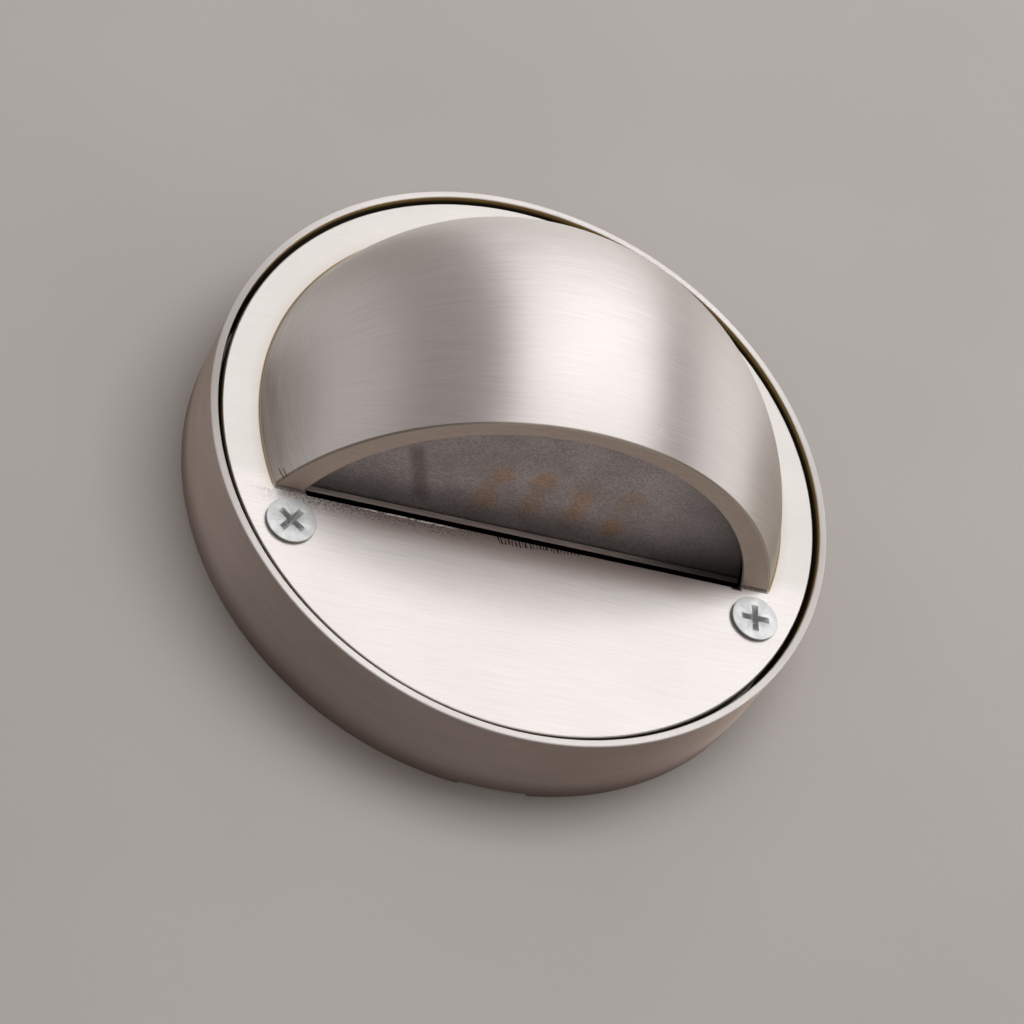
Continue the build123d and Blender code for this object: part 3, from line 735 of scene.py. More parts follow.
def strip_steel():
    """Rolled steel strip, bare in front, with painted shadow at its right end and painted shade, near black,
    underneath.

    Only its front edge shows, as a thin grey line over a black gap.
    """
    material, tree = new_material("rolled_steel_strip")
    _, x, y, z = axes(tree)
    normal = add(tree, "ShaderNodeSeparateXYZ", {0: add(tree, "ShaderNodeNewGeometry").outputs["Normal"]})
    # Its underside is painted near black: painted shade
    under = spread(tree, normal.outputs[2], -0.9, -0.5, 1.0, 0.0)
    mark = grain(tree, scaled(tree, x, y, z, (5, 0.3, 0.3)), 3.0)
    # Its right end is painted darker: painted shadow of the hood
    painted_shadow_right = spread(tree, x, 10 * mm, 30 * mm, 1.0, 0.3)
    metal = blend(tree, 1.0, linear("#EFE5E0"), times(tree, spread(tree, mark, 0.3, 0.7, 0.8, 1.0), painted_shadow_right),
                  "MULTIPLY")
    metal = blend(tree, under, metal, linear("#0D0B0A"))
    surface(tree,
            {"Base Color": metal, "Metallic": 1.0, "Roughness": spread(tree, mark, 0.3, 0.7, 0.55, 0.65)},
            mark, 0.004 * mm)
    return material


def moulded(name, tint, roughness, grain_size, depth, spread_tone=0.12, inputs=None):
    """Moulded or printed non-metal: a fine even grain, with slightly uneven gloss."""
    material, tree = new_material(name)
    _, x, y, z = axes(tree)
    cloud = grain(tree, scaled(tree, x, y, z, (9, 9, 9)), 2.0)
    fine = grain(tree, scaled(tree, x, y, z, (grain_size,) * 3), 2.0)
    base = blend(tree, 1.0, tint, spread(tree, cloud, 0.3, 0.7, 1 - spread_tone, 1.0), "MULTIPLY")
    rough = spread(tree, cloud, 0.3, 0.7, roughness - 0.05, roughness + 0.05)
    surface(tree, {"Base Color": base, "Roughness": rough, "IOR": 1.5, **(inputs or {})}, fine, depth * mm)
    return material


def frosted_acrylic(finishes):
    """Cast acrylic, frosted by blasting its outer face.

    The frost gives the panel a soft grey. Warm patches are painted where the chips
    stand behind it: painted light. The panel is painted darker towards its straight
    edge and its right end: painted shade. Fine scratches and a dark slanting band
    show on it.
    """
    material, tree = new_material("blasted_acrylic")
    _, x, y, z = axes(tree)
    frost = grain(tree, scaled(tree, x, y, z, (0.25, 0.25, 0.25)), 2.0)
    cloud = grain(tree, scaled(tree, x, y, z, (6, 5, 5)), 3.0)
    fine = grain(tree, scaled(tree, x, y, z, (0.3, 0.2, 0.2)), 2.0)
    # Painted darker towards the straight edge and the right end: painted shade
    dense = times(tree, spread(tree, y, -25 * mm, -15.5 * mm, 1.0, 0.4),
                  spread(tree, x, 12 * mm, 34 * mm, 1.0, 0.3),
                  spread(tree, cloud, 0.3, 0.7, 0.8, 1.0), spread(tree, fine, 0.3, 0.7, 0.56, 1.0))
    # A dark slanting band across the left part
    slant = sums(tree, "ADD", x, times(tree, y, -0.42))
    dark_slant_band = times(tree, window(tree, slant, -10.6 * mm, -10 * mm, 1.8 * mm),
                  window(tree, y, -28 * mm, -19 * mm, 3 * mm))
    # Warm patches painted where the chips stand behind the frost: painted light
    column = sums(tree, "COSINE", times(tree, sums(tree, "ADD", x, 8.9 * mm), 2 * pi / (6.8 * mm)))
    row = sums(tree, "COSINE", times(tree, sums(tree, "ADD", y, 20.8 * mm), 2 * pi / (6.3 * mm)))
    painted_chip_glow = times(tree, spread(tree, sums(tree, "ADD", column, times(tree, row, 0.35)), -0.9, 1.3),
                  window(tree, x, -11 * mm, 14 * mm, 2 * mm),
                  window(tree, y, -29 * mm, -19 * mm, 2 * mm), spread(tree, cloud, 0.35, 0.6, 0.35, 1.0))
    base = blend(tree, 1.0, list(finishes.lens), dense, "MULTIPLY")
    base = blend(tree, times(tree, dark_slant_band, 0.45), base, linear("#3B3330"))
    warm = blend(tree, 1.0, linear("#F3BF8C"), dense, "MULTIPLY")
    base = blend(tree, times(tree, painted_chip_glow, 0.7), base, warm)
    rough = spread(tree, cloud, 0.3, 0.7, 0.56, 0.64)
    scratch = spread(tree,
                     grain(tree,
                           scaled(tree, sums(tree, "ADD", x, y), sums(tree, "SUBTRACT", x, y), z,
                                  (5, 0.12, 5)), 1.0),
                     0.66, 0.72)
    height = sums(tree, "ADD", frost, times(tree, scratch, 0.6))
    bump = add(tree, "ShaderNodeBump", {"Height": height, "Distance": 0.006 * mm, "Strength": 1.0})
    shader = add(tree, "ShaderNodeBsdfPrincipled",
                 {"Base Color": base, "Roughness": rough, "IOR": 1.49, "Transmission Weight": 0.38,
                  "Normal": bump.outputs[0]})
    # Light from the lamps passes the frost and reaches the board behind it
    lamps = add(tree, "ShaderNodeLightPath").outputs["Is Shadow Ray"]
    clear = add(tree, "ShaderNodeBsdfTransparent", {"Color": linear("#D8D6D4")})
    mixed = add(tree, "ShaderNodeMixShader", {0: lamps, 1: shader.outputs[0], 2: clear.outputs[0]})
    add(tree, "ShaderNodeOutputMaterial", {"Surface": mixed.outputs[0]})
    return material


# ---------------------------------------------------------------- shapes shared by the casting


def hood_balls(sizes):
    """Root radius, height, ball radius and centre depth of the hood's outside and inside."""
    face = sizes.ring_depth - sizes.plate_recess
    root = sizes.plate_radius - sizes.root_inset
    height = -casting_box[0].y - face
    balls = []
    for r, h in ((root, height), (root - sizes.foot_wall, height - sizes.crown_wall)):
        radius = (r * r + h * h) / (2 * h)
        balls.append((r, h, radius, -(face + h - radius)))
    return balls


def foot_span(sizes):
    """Distance from the middle of a foot's inner end, and of the middle of its corner's rounding."""
    face = plate_face(sizes)
    (_, _, radius, centre), (_, _, inner, inner_centre) = hood_balls(sizes)
    z = sizes.lip_level + sizes.lip_rounding
    corner = sqrt((radius - sizes.lip_rounding) ** 2 - z**2 - (face - centre) ** 2)
    inner_end = sqrt(inner**2 - sizes.lip_level**2 - (face - inner_centre) ** 2)
    return inner_end, corner


def dome_chain(name, points, centre, half_angle):
    """Draw a chain of (radius, height) points in the plane where an upright spin starts."""
    return draw_chain(
        name, [(r * sin(half_angle), centre - r * cos(half_angle), z) for r, z in points]
    )


def hood_shell(sizes):
    """The hood's wall: two ball surfaces with rounded lips, joined by the level lip."""
    step = 1.5
    reach = 80.0
    level = sizes.lip_level
    rounding = sizes.lip_rounding
    (_, _, outer, outer_centre), (_, _, inner, inner_centre) = hood_balls(sizes)
    shells = []
    for radius, centre, side in ((outer, outer_centre, -1), (inner, inner_centre, 1)):
        bead = radius + side * rounding
        bead_out = sqrt(bead**2 - (level + rounding) ** 2)
        tangent = atan2(level + rounding, bead_out)
        top = radians(80)
        count = round((top - tangent) / radians(step))
        wall = [tangent + (top - tangent) * i / count for i in range(count, -1, -1)]
        chain = [(radius * cos(a), radius * sin(a)) for a in wall]
        if side < 0:
            lip = arc((bead_out, level + rounding), rounding, tangent * 180 / pi, -90, 8)
        else:
            lip = arc((bead_out, level + rounding), rounding, 180 + tangent * 180 / pi, 270, 8)
        shell = dome_chain("hood_wall", chain + lip[1:], centre, radians(reach))
        steps = round(2 * reach / step)
        shells.append(spin(shell, (0, centre, 0), (0, 0, 1), 2 * radians(reach), steps))
    hood = merge_piece(*shells)
    edit(hood, "EDGE")
    pick(hood, "edges", lambda e: e.is_boundary and all(abs(v.co.z - level) < 1e-7 for v in e.verts))
    bpy.ops.mesh.bridge_edge_loops()
    clean()
    leave()
    back = -(sizes.ring_depth - sizes.plate_recess) + 1.5 * mm
    return cut(hood, (0, back, 0), (0, 1, 0))


def casting_plate(sizes):
    """Faceplate disc with its rounded edge, the hood's opening and the screws' countersinks."""
    face = plate_face(sizes)
    back = face + sizes.plate_thickness
    q = sizes.plate_rounding
    rim = sizes.plate_radius
    outline = [(0, face)] + arc((rim - q, face + q), q, -90, 0, 6)
    outline += [(rim, back - 0.15 * mm), (rim - 0.15 * mm, back), (0, back)]
    plate = turned("casting", outline, steps=288)
    _, (_, _, inner, inner_centre) = hood_balls(sizes)
    deselect()
    bpy.ops.mesh.primitive_uv_sphere_add(
        segments=240, ring_count=120, radius=inner + 0.02 * mm, location=(0, inner_centre, 0)
    )
    opening = settle(bpy.context.object, "opening")
    cut(opening, (0, 0, sizes.lip_level - sizes.aperture_drop), (0, 0, -1))
    cut(opening, (0, face - 1 * mm, 0), (0, -1, 0))
    cut(opening, (0, back + 1 * mm, 0), (0, 1, 0))
    combine(plate, opening, "DIFFERENCE")
    return plate


def screw_places(sizes):
    """Centres of the two face screws."""
    x = screws_box[1].x - sizes.head_radius
    z = (screws_box[0].z + screws_box[1].z) / 2
    return {"left": (-x, z), "right": (x, z)}


class STEPLIGHT_OT_surface_ring(bpy.types.Operator):
    """Turn the brushed ring that stands on the wall, and cut its drain notch"""

    bl_idname = "steplight.surface_ring"
    bl_label = "Surface Ring"

    def execute(self, context):
        sizes, finishes = context.scene.step_light_sizes, context.scene.step_light_finishes
        r, wall, q, front = sizes.ring_radius, sizes.ring_wall, sizes.ring_rounding, -sizes.ring_depth
        chamfer = 0.06 * mm
        outline = [(r - chamfer, 0), (r, -chamfer)]
        outline += arc((r - q, front + q), q, 0, -90, 5)
        outline += arc((r - wall + q, front + q), q, -90, -180, 5)
        outline += [(r - wall, -chamfer), (r - wall + chamfer, 0)]
        ring = turned("surface_ring_tube", outline, steps=288)
        deselect()
        bpy.ops.mesh.primitive_cube_add(size=1, location=(0, 0, -r + wall / 2))
        notch = bpy.context.object
        notch.scale = (sizes.notch_width, 2 * sizes.notch_height, 6 * wall)
        settle(notch, "notch")
        edit(notch, "EDGE")
        pick(notch, "edges",
             lambda e: all(v.co.y < 0 for v in e.verts) and abs(e.verts[0].co.x - e.verts[1].co.x) < mm
             and abs(e.verts[0].co.z - e.verts[1].co.z) > mm)
        bpy.ops.mesh.bevel(offset=0.25 * mm, segments=4)
        leave()
        combine(ring, notch, "DIFFERENCE")
        finish_piece(ring, "housing", turned_steel(sizes, finishes), ["surface_ring"])
        return {"FINISHED"}


class STEPLIGHT_OT_casting(bpy.types.Operator):
    """Model the faceplate with its half-dome hood, root fillet, feet and countersinks"""

    bl_idname = "steplight.casting"
    bl_label = "Faceplate and Hood"

    def execute(self, context):
        sizes, finishes = context.scene.step_light_sizes, context.scene.step_light_finishes
        casting = casting_plate(sizes)
        combine(casting, hood_shell(sizes), "UNION")
        combine(casting, self.base_bead(sizes), "UNION")
        self.add_screw_seats(casting, sizes)
        tidy_flats(casting)
        casting.name = casting.data.name = "faceplate_casting"
        finish_piece(casting, "front", casting_steel(sizes, finishes),
                     ["faceplate_hood"], 28)
        return {"FINISHED"}

    @staticmethod
    def base_bead(sizes):
        """Concave bead in the corner round the hood's base, from foot to foot."""
        face = plate_face(sizes)
        _, _, radius, centre = hood_balls(sizes)[0]
        q, buried = sizes.base_fillet, 0.25 * mm
        out = sqrt((radius + q) ** 2 - (face - q - centre) ** 2)
        part = radius / (radius + q)
        top = (out * part, centre + (face - q - centre) * part)
        lean = atan2(top[1] - (face - q), top[0] - out) * 180 / pi
        section = arc((out, face - q), q, 90, lean, 8)
        section += [(top[0] - buried, top[1]), (top[0] - buried, face + buried), (out, face + buried)]
        # The bead turns each foot's corner round the middle of the lip's rounding
        z = sizes.lip_level + sizes.lip_rounding
        inner_end, x = foot_span(sizes)
        reach = sqrt(x**2 + z**2)
        start = inner_end + 0.3 * mm
        corner = pi / 2 + atan2(z, x)
        round_hood = pi - 2 * atan2(z, x)
        bead = draw_chain("bead", [(start, y, z - (r - reach)) for r, y in section + section[:1]])
        edit(bead)
        merge_doubles()
        bpy.ops.mesh.edge_face_add()
        extrude((x - start, 0, 0))
        for centre_x, centre_z, angle, steps in ((x, z, corner, 8), (0, 0, round_hood, 200),
                                                 (-x, z, corner, 8)):
            bpy.ops.mesh.spin(steps=steps, angle=angle, center=(centre_x, 0, centre_z), axis=(0, 1, 0))
        extrude((x - start, 0, 0))
        clean()
        leave()
        return bead

    @staticmethod
    def add_screw_seats(casting, sizes):
        """Countersinks and holes for the face screws, and the bosses behind the plate."""
        face = plate_face(sizes)
        back = face + sizes.plate_thickness
        top = screws_box[0].y
        slack = 0.25 * mm
        for place in screw_places(sizes).values():
            rim = top + 0.35 * mm
            r = sizes.head_radius + slack
            deep = rim + sizes.head_radius - sizes.screw_radius
            hole = sizes.screw_radius + slack
            outline = [(0, rim), (r, rim), (hole, deep - slack), (hole, back - 0.75 * mm),
                       (3.1 * mm, back - 0.75 * mm), (3.1 * mm, back + 1 * mm), (0, back + 1 * mm)]
            combine(casting, turned("seat", outline, place), "DIFFERENCE")
        for x, z in boss_places():
            height = 1.5 * mm
            outline = [(1.55 * mm, back - 0.2 * mm), (3 * mm, back - 0.2 * mm),
                       (3 * mm, back + height - 0.1 * mm),
                       (2.9 * mm, back + height), (1.7 * mm, back + height),
                       (1.55 * mm, back + height - 0.15 * mm)]
            combine(casting, turned("boss", outline, (x, z), 64), "UNION")
            hole = [(0, back + height - 3.2 * mm), (1.55 * mm, back + height - 3.2 * mm),
                    (1.55 * mm, back + height + 1 * mm), (0, back + height + 1 * mm)]
            combine(casting, turned("tapping", hole, (x, z), 64), "DIFFERENCE")


def boss_places():
    """Centres of the four module screws, read from their node."""
    low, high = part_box("module_screws")
    head = 2.8 * mm
    x_high = high.x - head
    places = [(-x_high, high.z - head), (x_high, high.z - head)]
    return places + [(-20 * mm, low.z + head), (20 * mm, low.z + head)]


class STEPLIGHT_OT_face_screws(bpy.types.Operator):
    """Turn the countersunk face screws, with threads and a cross recess"""

    bl_idname = "steplight.face_screws"
    bl_label = "Face Screws"

    def execute(self, context):
        sizes, finishes = context.scene.step_light_sizes, context.scene.step_light_finishes
        material = zinc_plating(sizes, finishes)
        model = self.screw(sizes)
        turns = {"left": 51.0, "right": -1.0}
        for side, (x, z) in screw_places(sizes).items():
            activate(model)
            bpy.ops.object.duplicate()
            screw = bpy.context.object
            screw.rotation_euler.y = -radians(turns[side])
            screw.location = (x, 0, z)
            settle(screw, f"face_screw_{side}")
            finish_piece(screw, "front", material, ["face_screws"], 40)
        bpy.data.objects.remove(model)
        return {"FINISHED"}

    @staticmethod
    def screw(sizes):
        """One screw on the Y axis."""
        top = screws_box[0].y
        tip = screws_box[1].y
        r, thread, pitch = sizes.head_radius, sizes.screw_radius, sizes.screw_pitch
        q = 0.1 * mm
        core = thread - 0.61 * pitch
        outline = [(0, top)] + arc((r - q, top + q), q, -90, 0, 4)
        outline += [(r, top + 0.35 * mm), (thread, top + 0.35 * mm + r - thread)]
        outline += [(thread - 0.1 * mm, top + 0.45 * mm + r - thread), (core, top + 0.9 * mm + r - thread)]
        outline += [(core, tip - 0.5 * mm), (core - 0.45 * mm, tip), (0, tip)]
        screw = turned("screw", outline, steps=96)
        recess = STEPLIGHT_OT_face_screws.recess(sizes, top)
        combine(screw, recess, "DIFFERENCE")
        edit(screw, "EDGE")
        pick(screw, "edges", lambda e: len(e.link_faces) == 2 and e.calc_face_angle() > radians(35)
             and all(v.co.y < top + 1e-5 and sqrt(v.co.x**2 + v.co.z**2) < r - 0.5 * mm for v in e.verts))
        bpy.ops.mesh.bevel(offset=0.09 * mm, segments=3)
        leave()
        # Helical ridge of the thread, sunk into the core
        start = top + 1.2 * mm + r - thread
        count = int((tip - 0.6 * mm - start) / pitch)
        ridge = [(core - 0.15 * mm, 0), (core - 0.15 * mm, 0.8 * pitch), (thread, 0.46 * pitch),
                 (thread, 0.34 * pitch)]
        points = [(a, start + b, 0) for a, b in ridge + ridge[:1]]
        helix = draw_chain("helix", points)
        edit(helix)
        merge_doubles()
        leave()
        modify(helix, "SCREW", axis="Y", screw_offset=pitch, iterations=count, steps=32, render_steps=32)
        edit(helix)
        bpy.ops.mesh.select_all(action="SELECT")
        bpy.ops.mesh.fill_holes(sides=0)
        clean()
        leave()
        return merge_piece(screw, helix)

    @staticmethod
    def recess(sizes, top):
        """Tapered cross that is taken out of the head."""
        span, width = sizes.recess_span, sizes.recess_width
        deselect()
        bpy.ops.mesh.primitive_grid_add(x_subdivisions=3, y_subdivisions=3, size=3, rotation=(pi / 2, 0, 0))
        cross = settle(bpy.context.object, "recess")
        edit(cross, "FACE")
        pick(cross, "faces",
             lambda f: abs(f.calc_center_median().x) > 0.5 and abs(f.calc_center_median().z) > 0.5)
        bpy.ops.mesh.delete(type="FACE")
        for axis in (0, 2):
            for reach, wanted in ((0.5, width / 2), (1.5, span / 2)):
                bpy.ops.mesh.select_mode(type="VERT")
                pick(cross, "verts", lambda v: abs(abs(v.co[axis]) - reach) < 0.05)
                factor = [1.0, 1.0, 1.0]
                factor[axis] = wanted / reach
                bpy.ops.transform.resize(value=factor, center_override=(0, 0, 0))
        bpy.ops.mesh.select_all(action="SELECT")
        bpy.ops.transform.translate(value=(0, top - 0.3 * mm, 0))
        extrude((0, 0.3 * mm, 0))
        extrude((0, 1.3 * mm, 0))
        bpy.ops.transform.resize(value=(0.5, 1, 0.5), center_override=(0, 0, 0))
        extrude((0, 0.4 * mm, 0))
        bpy.ops.transform.resize(value=(0.3, 1, 0.3), center_override=(0, 0, 0))
        clean()
        bpy.ops.mesh.select_mode(type="EDGE")
        pick(cross, "edges", lambda e: abs(e.verts[0].co.y - e.verts[1].co.y) > 0.2 * mm)
        bpy.ops.mesh.bevel(offset=0.16 * mm, segments=3)
        clean()
        leave()
        return cross


class STEPLIGHT_OT_lens(bpy.types.Operator):
    """Cut the level frosted lens and the metal strip along its straight edge"""

    bl_idname = "steplight.lens"
    bl_label = "Lens and Strip"

    def execute(self, context):
        sizes, finishes = context.scene.step_light_sizes, context.scene.step_light_finishes
        low, high = lens_box
        radius = self.radius()
        deselect()
        bpy.ops.mesh.primitive_cylinder_add(
            vertices=288, radius=radius, depth=high.z - low.z,
            location=(0, low.y + radius, (low.z + high.z) / 2)
        )
        lens = settle(bpy.context.object, "frosted_lens")
        cut(lens, (0, high.y, 0), (0, 1, 0))
        modify(lens, "BEVEL", width=sizes.lens_rounding, segments=3, limit_method="ANGLE",
               angle_limit=radians(40))
        finish_piece(lens, "front", frosted_acrylic(finishes), ["lens"])
        finish_piece(self.strip(), "front", strip_steel(), ["lens_bar"])
        return {"FINISHED"}

    @staticmethod
    def radius():
        """Radius of the lens's arc, from its chord and its reach."""
        low, high = lens_box
        half, reach = high.x, high.y - low.y
        return (half**2 + reach**2) / (2 * reach)

    @staticmethod
    def strip():
        """Angle strip under the lens's edge, with a rebate along its upper front edge."""
        low, high = bar_box
        leg, bend = 0.6 * mm, 0.35 * mm
        under_lens, rebate = lens_box[0].z, (0.5 * mm, 0.35 * mm)
        section = [(low.y, low.z), (high.y - bend, low.z)]
        section += arc((high.y - bend, low.z + bend), bend, -90, 0, 5)[1:]
        section += [(high.y, high.z), (high.y - leg, high.z), (high.y - leg, under_lens)]
        section += [(low.y + rebate[0], under_lens), (low.y + rebate[0], under_lens - rebate[1])]
        section += [(low.y, under_lens - rebate[1])]
        strip = draw_chain("lens_strip", [(low.x, y, z) for y, z in section + section[:1]])
        edit(strip)
        merge_doubles()
        bpy.ops.mesh.edge_face_add()
        extrude((high.x - low.x, 0, 0))
        clean()
        leave()
        modify(strip, "BEVEL", width=0.07 * mm, segments=2, limit_method="ANGLE", angle_limit=radians(40))
        return strip


def dress(rows, material):
    """Give each listed node a merged copy with a finish."""
    for node, name, body, slot, bevel in rows:
        finish_piece(merged_copy(node, name, bevel * mm), body, material, [node])


class STEPLIGHT_OT_lamp_module(bpy.types.Operator):
    """Dress the sealed lamp module: case, cover, seals, boards and their parts"""

    bl_idname = "steplight.lamp_module"
    bl_label = "Lamp Module"

    def execute(self, context):
        finishes = context.scene.step_light_finishes
        plastic = moulded("moulded_black_nylon", list(finishes.plastic), 0.42, 0.5, 0.012)
        dress([("module_case", "lamp_case", "front", "black_plastic", 0.12),
               ("module_cover", "lamp_case_cover", "front", "black_plastic", 0.12)], plastic)
        rubber = moulded("moulded_silicone", linear("#2A2A2B"), 0.6, 0.3, 0.005)
        dress([("cover_gasket", "cover_gasket_ring", "front", "silicone_seal", 0),
               ("lens_seal", "lens_seal_frame", "front", "silicone_seal", 0),
               ("thermal_pad", "heat_pad", "front", "silicone_seal", 0)], rubber)
        dress([("gland_seal", "gland_rubber_ring", "front", "black_rubber", 0)],
              moulded("moulded_black_rubber", linear("#1A1A1A"), 0.65, 0.2, 0.006))
        board = moulded("white_solder_mask", linear("#ECEBE4"), 0.35, 0.4, 0.003)
        dress([("light_board", "light_board_panel", "front", "board_white", 0)], board)
        green = moulded("green_solder_mask", linear("#1F5A34"), 0.32, 0.4, 0.003)
        dress([("driver_board", "driver_board_panel", "front", "board_green", 0)], green)
        chips = moulded("white_reflector_resin", linear("#EFEDE6"), 0.4, 0.2, 0.003)
        dress([("light_chips", "light_chip_bodies", "front", "chip_white", 0)], chips)
        glow = moulded("yellow_phosphor_silicone", list(finishes.phosphor), 0.3, 0.12, 0.004)
        dress([("chip_phosphors", "phosphor_domes", "front", "phosphor", 0)], glow)
        aluminium = plain_metal("pressed_aluminium", "#C9CACB", 0.36, 0.25, 0.004)
        dress([("heat_spreader", "heat_spreader_plate", "front", "plain_aluminium", 0.1),
               ("driver_capacitor", "capacitor_can", "front", "plain_aluminium", 0)], aluminium)
        resin = moulded("moulded_black_resin", linear("#1E1E20"), 0.5, 0.15, 0.004)
        dress([("driver_coil", "coil_drum", "front", "black_package", 0.08),
               ("driver_chip", "control_chip", "front", "black_package", 0.08),
               ("link_header", "link_header_block", "front", "black_package", 0.08)], resin)
        return {"FINISHED"}


class STEPLIGHT_OT_fixings(bpy.types.Operator):
    """Dress the back plate, pillars, gland and small screws"""

    bl_idname = "steplight.fixings"
    bl_label = "Back Plate and Fixings"

    def execute(self, context):
        plate = plain_metal("cold_rolled_stainless", "#B9B6B2", 0.4, 0.4, 0.006)
        dress([("back_plate", "back_plate_disc", "housing", "bare_steel", 0.1),
               ("screw_pillars", "tapped_pillars", "housing", "bare_steel", 0.15),
               ("top_rest", "top_rest_pillar", "housing", "bare_steel", 0.15)], plate)
        dress([("rest_buffer", "rest_buffer_pad", "housing", "black_rubber", 0.12)],
              moulded("cut_black_rubber", linear("#1B1B1B"), 0.7, 0.2, 0.008))
        nylon = moulded("natural_nylon", linear("#DEDACE"), 0.38, 0.3, 0.003)
        dress([("screw_retainers", "retainer_washers", "front", "nylon", 0.06)], nylon)
        zinc = plain_metal("small_zinc_plated_screw", "#D5D8DA", 0.3, 0.3, 0.004)
        dress([("module_screws", "module_pan_screws", "front", "zinc_plated_screw", 0.08),
               ("driver_screws", "driver_pan_screws", "front", "zinc_plated_screw", 0.08)], zinc)
        brass = plain_metal("nickel_plated_brass", "#C6BEA6", 0.26, 0.3, 0.003)
        dress([("cable_gland", "cable_gland_body", "front", "nickel_brass", 0.12),
               ("gland_locknut", "gland_locking_nut", "front", "nickel_brass", 0.12),
               ("gland_nut", "gland_clamping_nut", "front", "nickel_brass", 0.12),
               ("link_pins", "link_pin_pair", "front", "nickel_brass", 0)], brass)
        return {"FINISHED"}


# ---------------------------------------------------------------- stage


class STEPLIGHT_OT_studio(bpy.types.Operator):
    """Set up the pale wall, the floor, the lamps and the camera"""

    bl_idname = "steplight.studio"
    bl_label = "Studio"

    def execute(self, context):
        finishes, studio = context.scene.step_light_finishes, context.scene.step_light_studio
        self.wall(finishes)
        self.floor()
        self.lamps(studio)
        self.camera(context.scene)
        context.scene.view_settings.view_transform = "Standard"
        return {"FINISHED"}

    @staticmethod
    def wall(finishes):
        """Painted wall just behind the ring, seen from the front only."""
        covered = 49.5 * mm
        deselect()
        bpy.ops.mesh.primitive_circle_add(
            vertices=256, radius=covered, location=(0, 0.2 * mm, 0), rotation=(pi / 2, 0, 0))
        wall = settle(bpy.context.object, "studio_wall")
        edit(wall, "EDGE")
        bpy.ops.mesh.select_all(action="SELECT")
        for grow in (2, 5, 5):
            bpy.ops.mesh.extrude_region_move()
            bpy.ops.transform.resize(value=(grow, 1, grow), center_override=(0, 0, 0))
        # The middle is filled last: a face filled first would be drawn out with its edges
        pick(wall, "edges", lambda e: e.is_boundary and e.verts[0].co.length < 2 * covered)
        bpy.ops.mesh.edge_face_add()
        leave()
        face_forward(wall)
        material, tree = new_material("matt_wall_paint")
        _, x, y, z = axes(tree)
        roller = grain(tree, scaled(tree, x, y, z, (2.5, 2.5, 2.5)), 3.0)
        cloud = grain(tree, scaled(tree, x, y, z, (60, 60, 60)), 2.0)
        paint = blend(tree, 1.0, list(finishes.wall), spread(tree, cloud, 0.3, 0.7, 0.96, 1.0), "MULTIPLY")
        bump = add(tree, "ShaderNodeBump", {"Height": roller, "Distance": 0.05 * mm, "Strength": 1.0})
        shader = add(tree, "ShaderNodeBsdfPrincipled",
                     {"Base Color": paint, "Roughness": 0.8, "Normal": bump.outputs[0]})
        # The wall lets through what comes from behind it, and light leaves the ring's back
        behind = add(tree, "ShaderNodeNewGeometry").outputs["Backfacing"]
        unseen = sums(tree, "SUBTRACT", 1.0, add(tree, "ShaderNodeLightPath").outputs["Is Camera Ray"])
        by_ring = sums(tree, "LESS_THAN", from_axis(tree, x, z), covered)
        clear = add(tree, "ShaderNodeBsdfTransparent")
        mixed = add(tree, "ShaderNodeMixShader", {0: highest(tree, behind, times(tree, unseen, by_ring)),
                                                  1: shader.outputs[0], 2: clear.outputs[0]})
        add(tree, "ShaderNodeOutputMaterial", {"Surface": mixed.outputs[0]})
        wall.data.materials.append(material)

    @staticmethod
    def floor():
        """Painted floor, well below the light."""
        deselect()
        bpy.ops.mesh.primitive_plane_add(size=4, location=(0, 0, -0.9))
        floor = settle(bpy.context.object, "studio_floor")
        floor.data.materials.append(moulded("matt_floor_paint", linear("#D9D6D3"), 0.8, 2.5, 0.02, 0.04))

    @staticmethod
    def lamps(studio):
        """Soft boxes, each aimed at the light."""
        boxes = (
            ("front", (0.21, -0.948, 0.242), 0.8, (0.77, 0.40), studio.front),
            ("above", (0.15, -0.34, 0.91), 0.8, (0.34, 0.50), studio.above),
            ("right", (0.955, -0.17, 0.24), 0.8, (0.65, 0.80), studio.right),
            ("left", (-0.97, -0.05, 0.24), 0.8, (1.0, 0.80), studio.left),
        )
        for name, towards, distance, size, power in boxes:
            data = bpy.data.lights.new(f"softbox_{name}", "AREA")
            data.shape, data.size, data.size_y, data.energy = "RECTANGLE", *size, power
            lamp = bpy.data.objects.new(f"softbox_{name}", data)
            bpy.context.scene.collection.objects.link(lamp)
            direction = Vector(towards).normalized()
            lamp.location = direction * distance
            lamp.rotation_euler = direction.to_track_quat("Z", "Y").to_euler()
        world = bpy.data.worlds.new("studio_air")
        bpy.context.scene.world = world
        world.use_nodes = True
        tree = world.node_tree
        tree.nodes.clear()
        glow = add(tree, "ShaderNodeBackground", {"Color": linear("#F7F0EB"), "Strength": studio.around})
        path = add(tree, "ShaderNodeLightPath")
        seen = add(tree, "ShaderNodeBackground", {"Color": linear("#E4E1DE"), "Strength": 1.0})
        # The pale air behind the wall also shows in metal and glass that face it
        towards = add(tree, "ShaderNodeSeparateXYZ",
                      {0: add(tree, "ShaderNodeTexCoord").outputs["Generated"]})
        mirrored = highest(tree, path.outputs["Is Glossy Ray"], path.outputs["Is Transmission Ray"])
        mirrored = times(tree, mirrored, sums(tree, "GREATER_THAN", towards.outputs[1], 0.0))
        shown = highest(tree, path.outputs["Is Camera Ray"], mirrored)
        mixed = add(tree, "ShaderNodeMixShader", {0: shown, 1: glow.outputs[0], 2: seen.outputs[0]})
        add(tree, "ShaderNodeOutputWorld", {"Surface": mixed.outputs[0]})

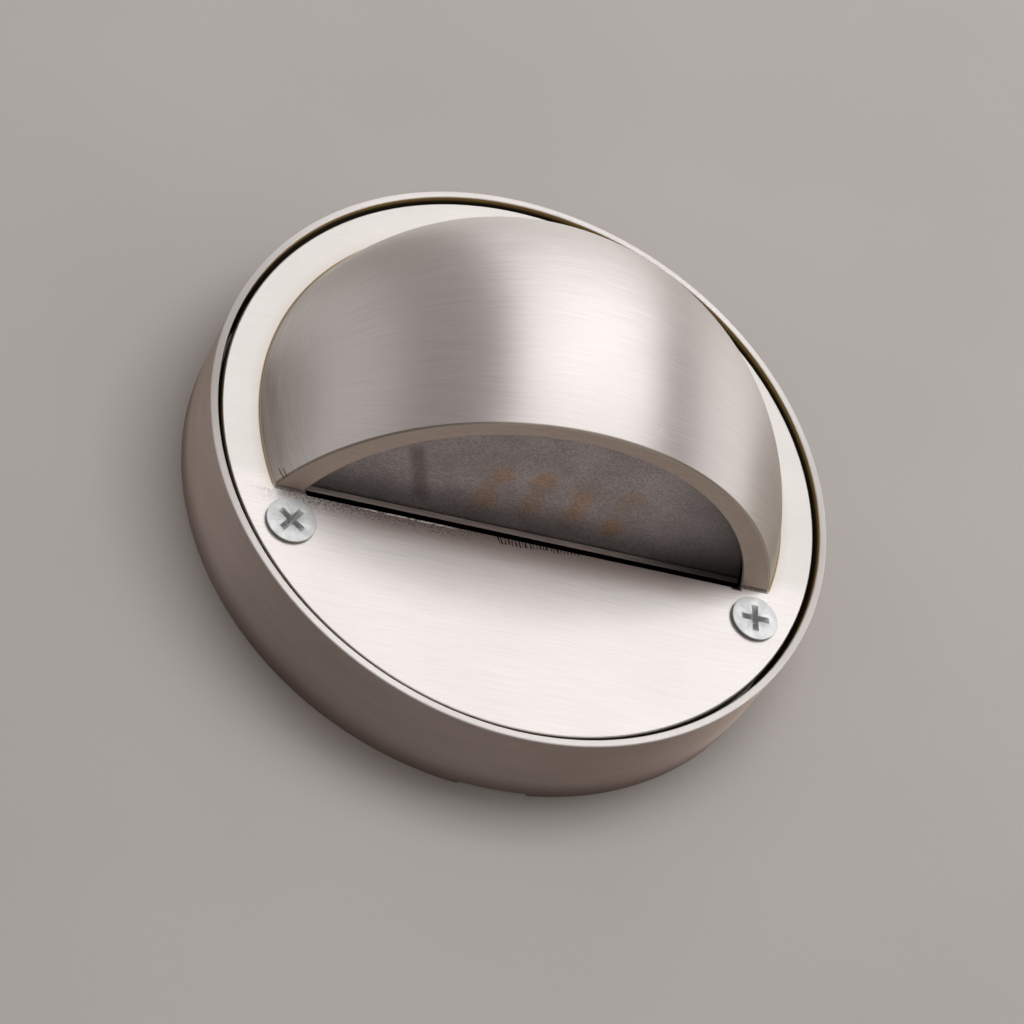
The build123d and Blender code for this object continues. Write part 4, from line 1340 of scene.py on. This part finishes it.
    @staticmethod
    def camera(scene):
        data = bpy.data.cameras.new("photo_camera")
        data.lens, data.sensor_width = 101.04, 36
        data.clip_start = 0.01
        camera = bpy.data.objects.new("photo_camera", data)
        scene.collection.objects.link(camera)
        camera.location = (-0.1301, -0.3455, -0.2540)
        camera.rotation_euler = Vector((0.297, 0.769, 0.566)).to_track_quat("-Z", "Y").to_euler()
        scene.camera = camera


class STEPLIGHT_PT_panel(bpy.types.Panel):
    """Sizes, finishes and the buttons that build each piece"""

    bl_idname = "STEPLIGHT_PT_panel"
    bl_label = "Step Light"
    bl_space_type = "VIEW_3D"
    bl_region_type = "UI"
    bl_category = "Step Light"

    def draw(self, context):
        for group in (context.scene.step_light_sizes, context.scene.step_light_finishes,
                      context.scene.step_light_studio):
            box = self.layout.box()
            for name in group.bl_rna.properties.keys():
                if name not in ("rna_type", "name"):
                    box.prop(group, name)
        for operator in operators:
            self.layout.operator(operator.bl_idname)


operators = (
    STEPLIGHT_OT_surface_ring,
    STEPLIGHT_OT_casting,
    STEPLIGHT_OT_face_screws,
    STEPLIGHT_OT_lens,
    STEPLIGHT_OT_lamp_module,
    STEPLIGHT_OT_fixings,
    STEPLIGHT_OT_studio,
)
classes = (StepLightSizes, StepLightFinishes, StepLightStudio, *operators, STEPLIGHT_PT_panel)


def register():
    for item in classes:
        bpy.utils.register_class(item)
    bpy.types.Scene.step_light_sizes = PointerProperty(type=StepLightSizes)
    bpy.types.Scene.step_light_finishes = PointerProperty(type=StepLightFinishes)
    bpy.types.Scene.step_light_studio = PointerProperty(type=StepLightStudio)


def unregister():
    del bpy.types.Scene.step_light_studio
    del bpy.types.Scene.step_light_finishes
    del bpy.types.Scene.step_light_sizes
    for item in reversed(classes):
        bpy.utils.unregister_class(item)


def main():
    register()
    bpy.ops.steplight.surface_ring()
    bpy.ops.steplight.casting()
    bpy.ops.steplight.face_screws()
    bpy.ops.steplight.lens()
    bpy.ops.steplight.lamp_module()
    bpy.ops.steplight.fixings()
    bpy.ops.steplight.studio()


if __name__ == "__main__":
    main()
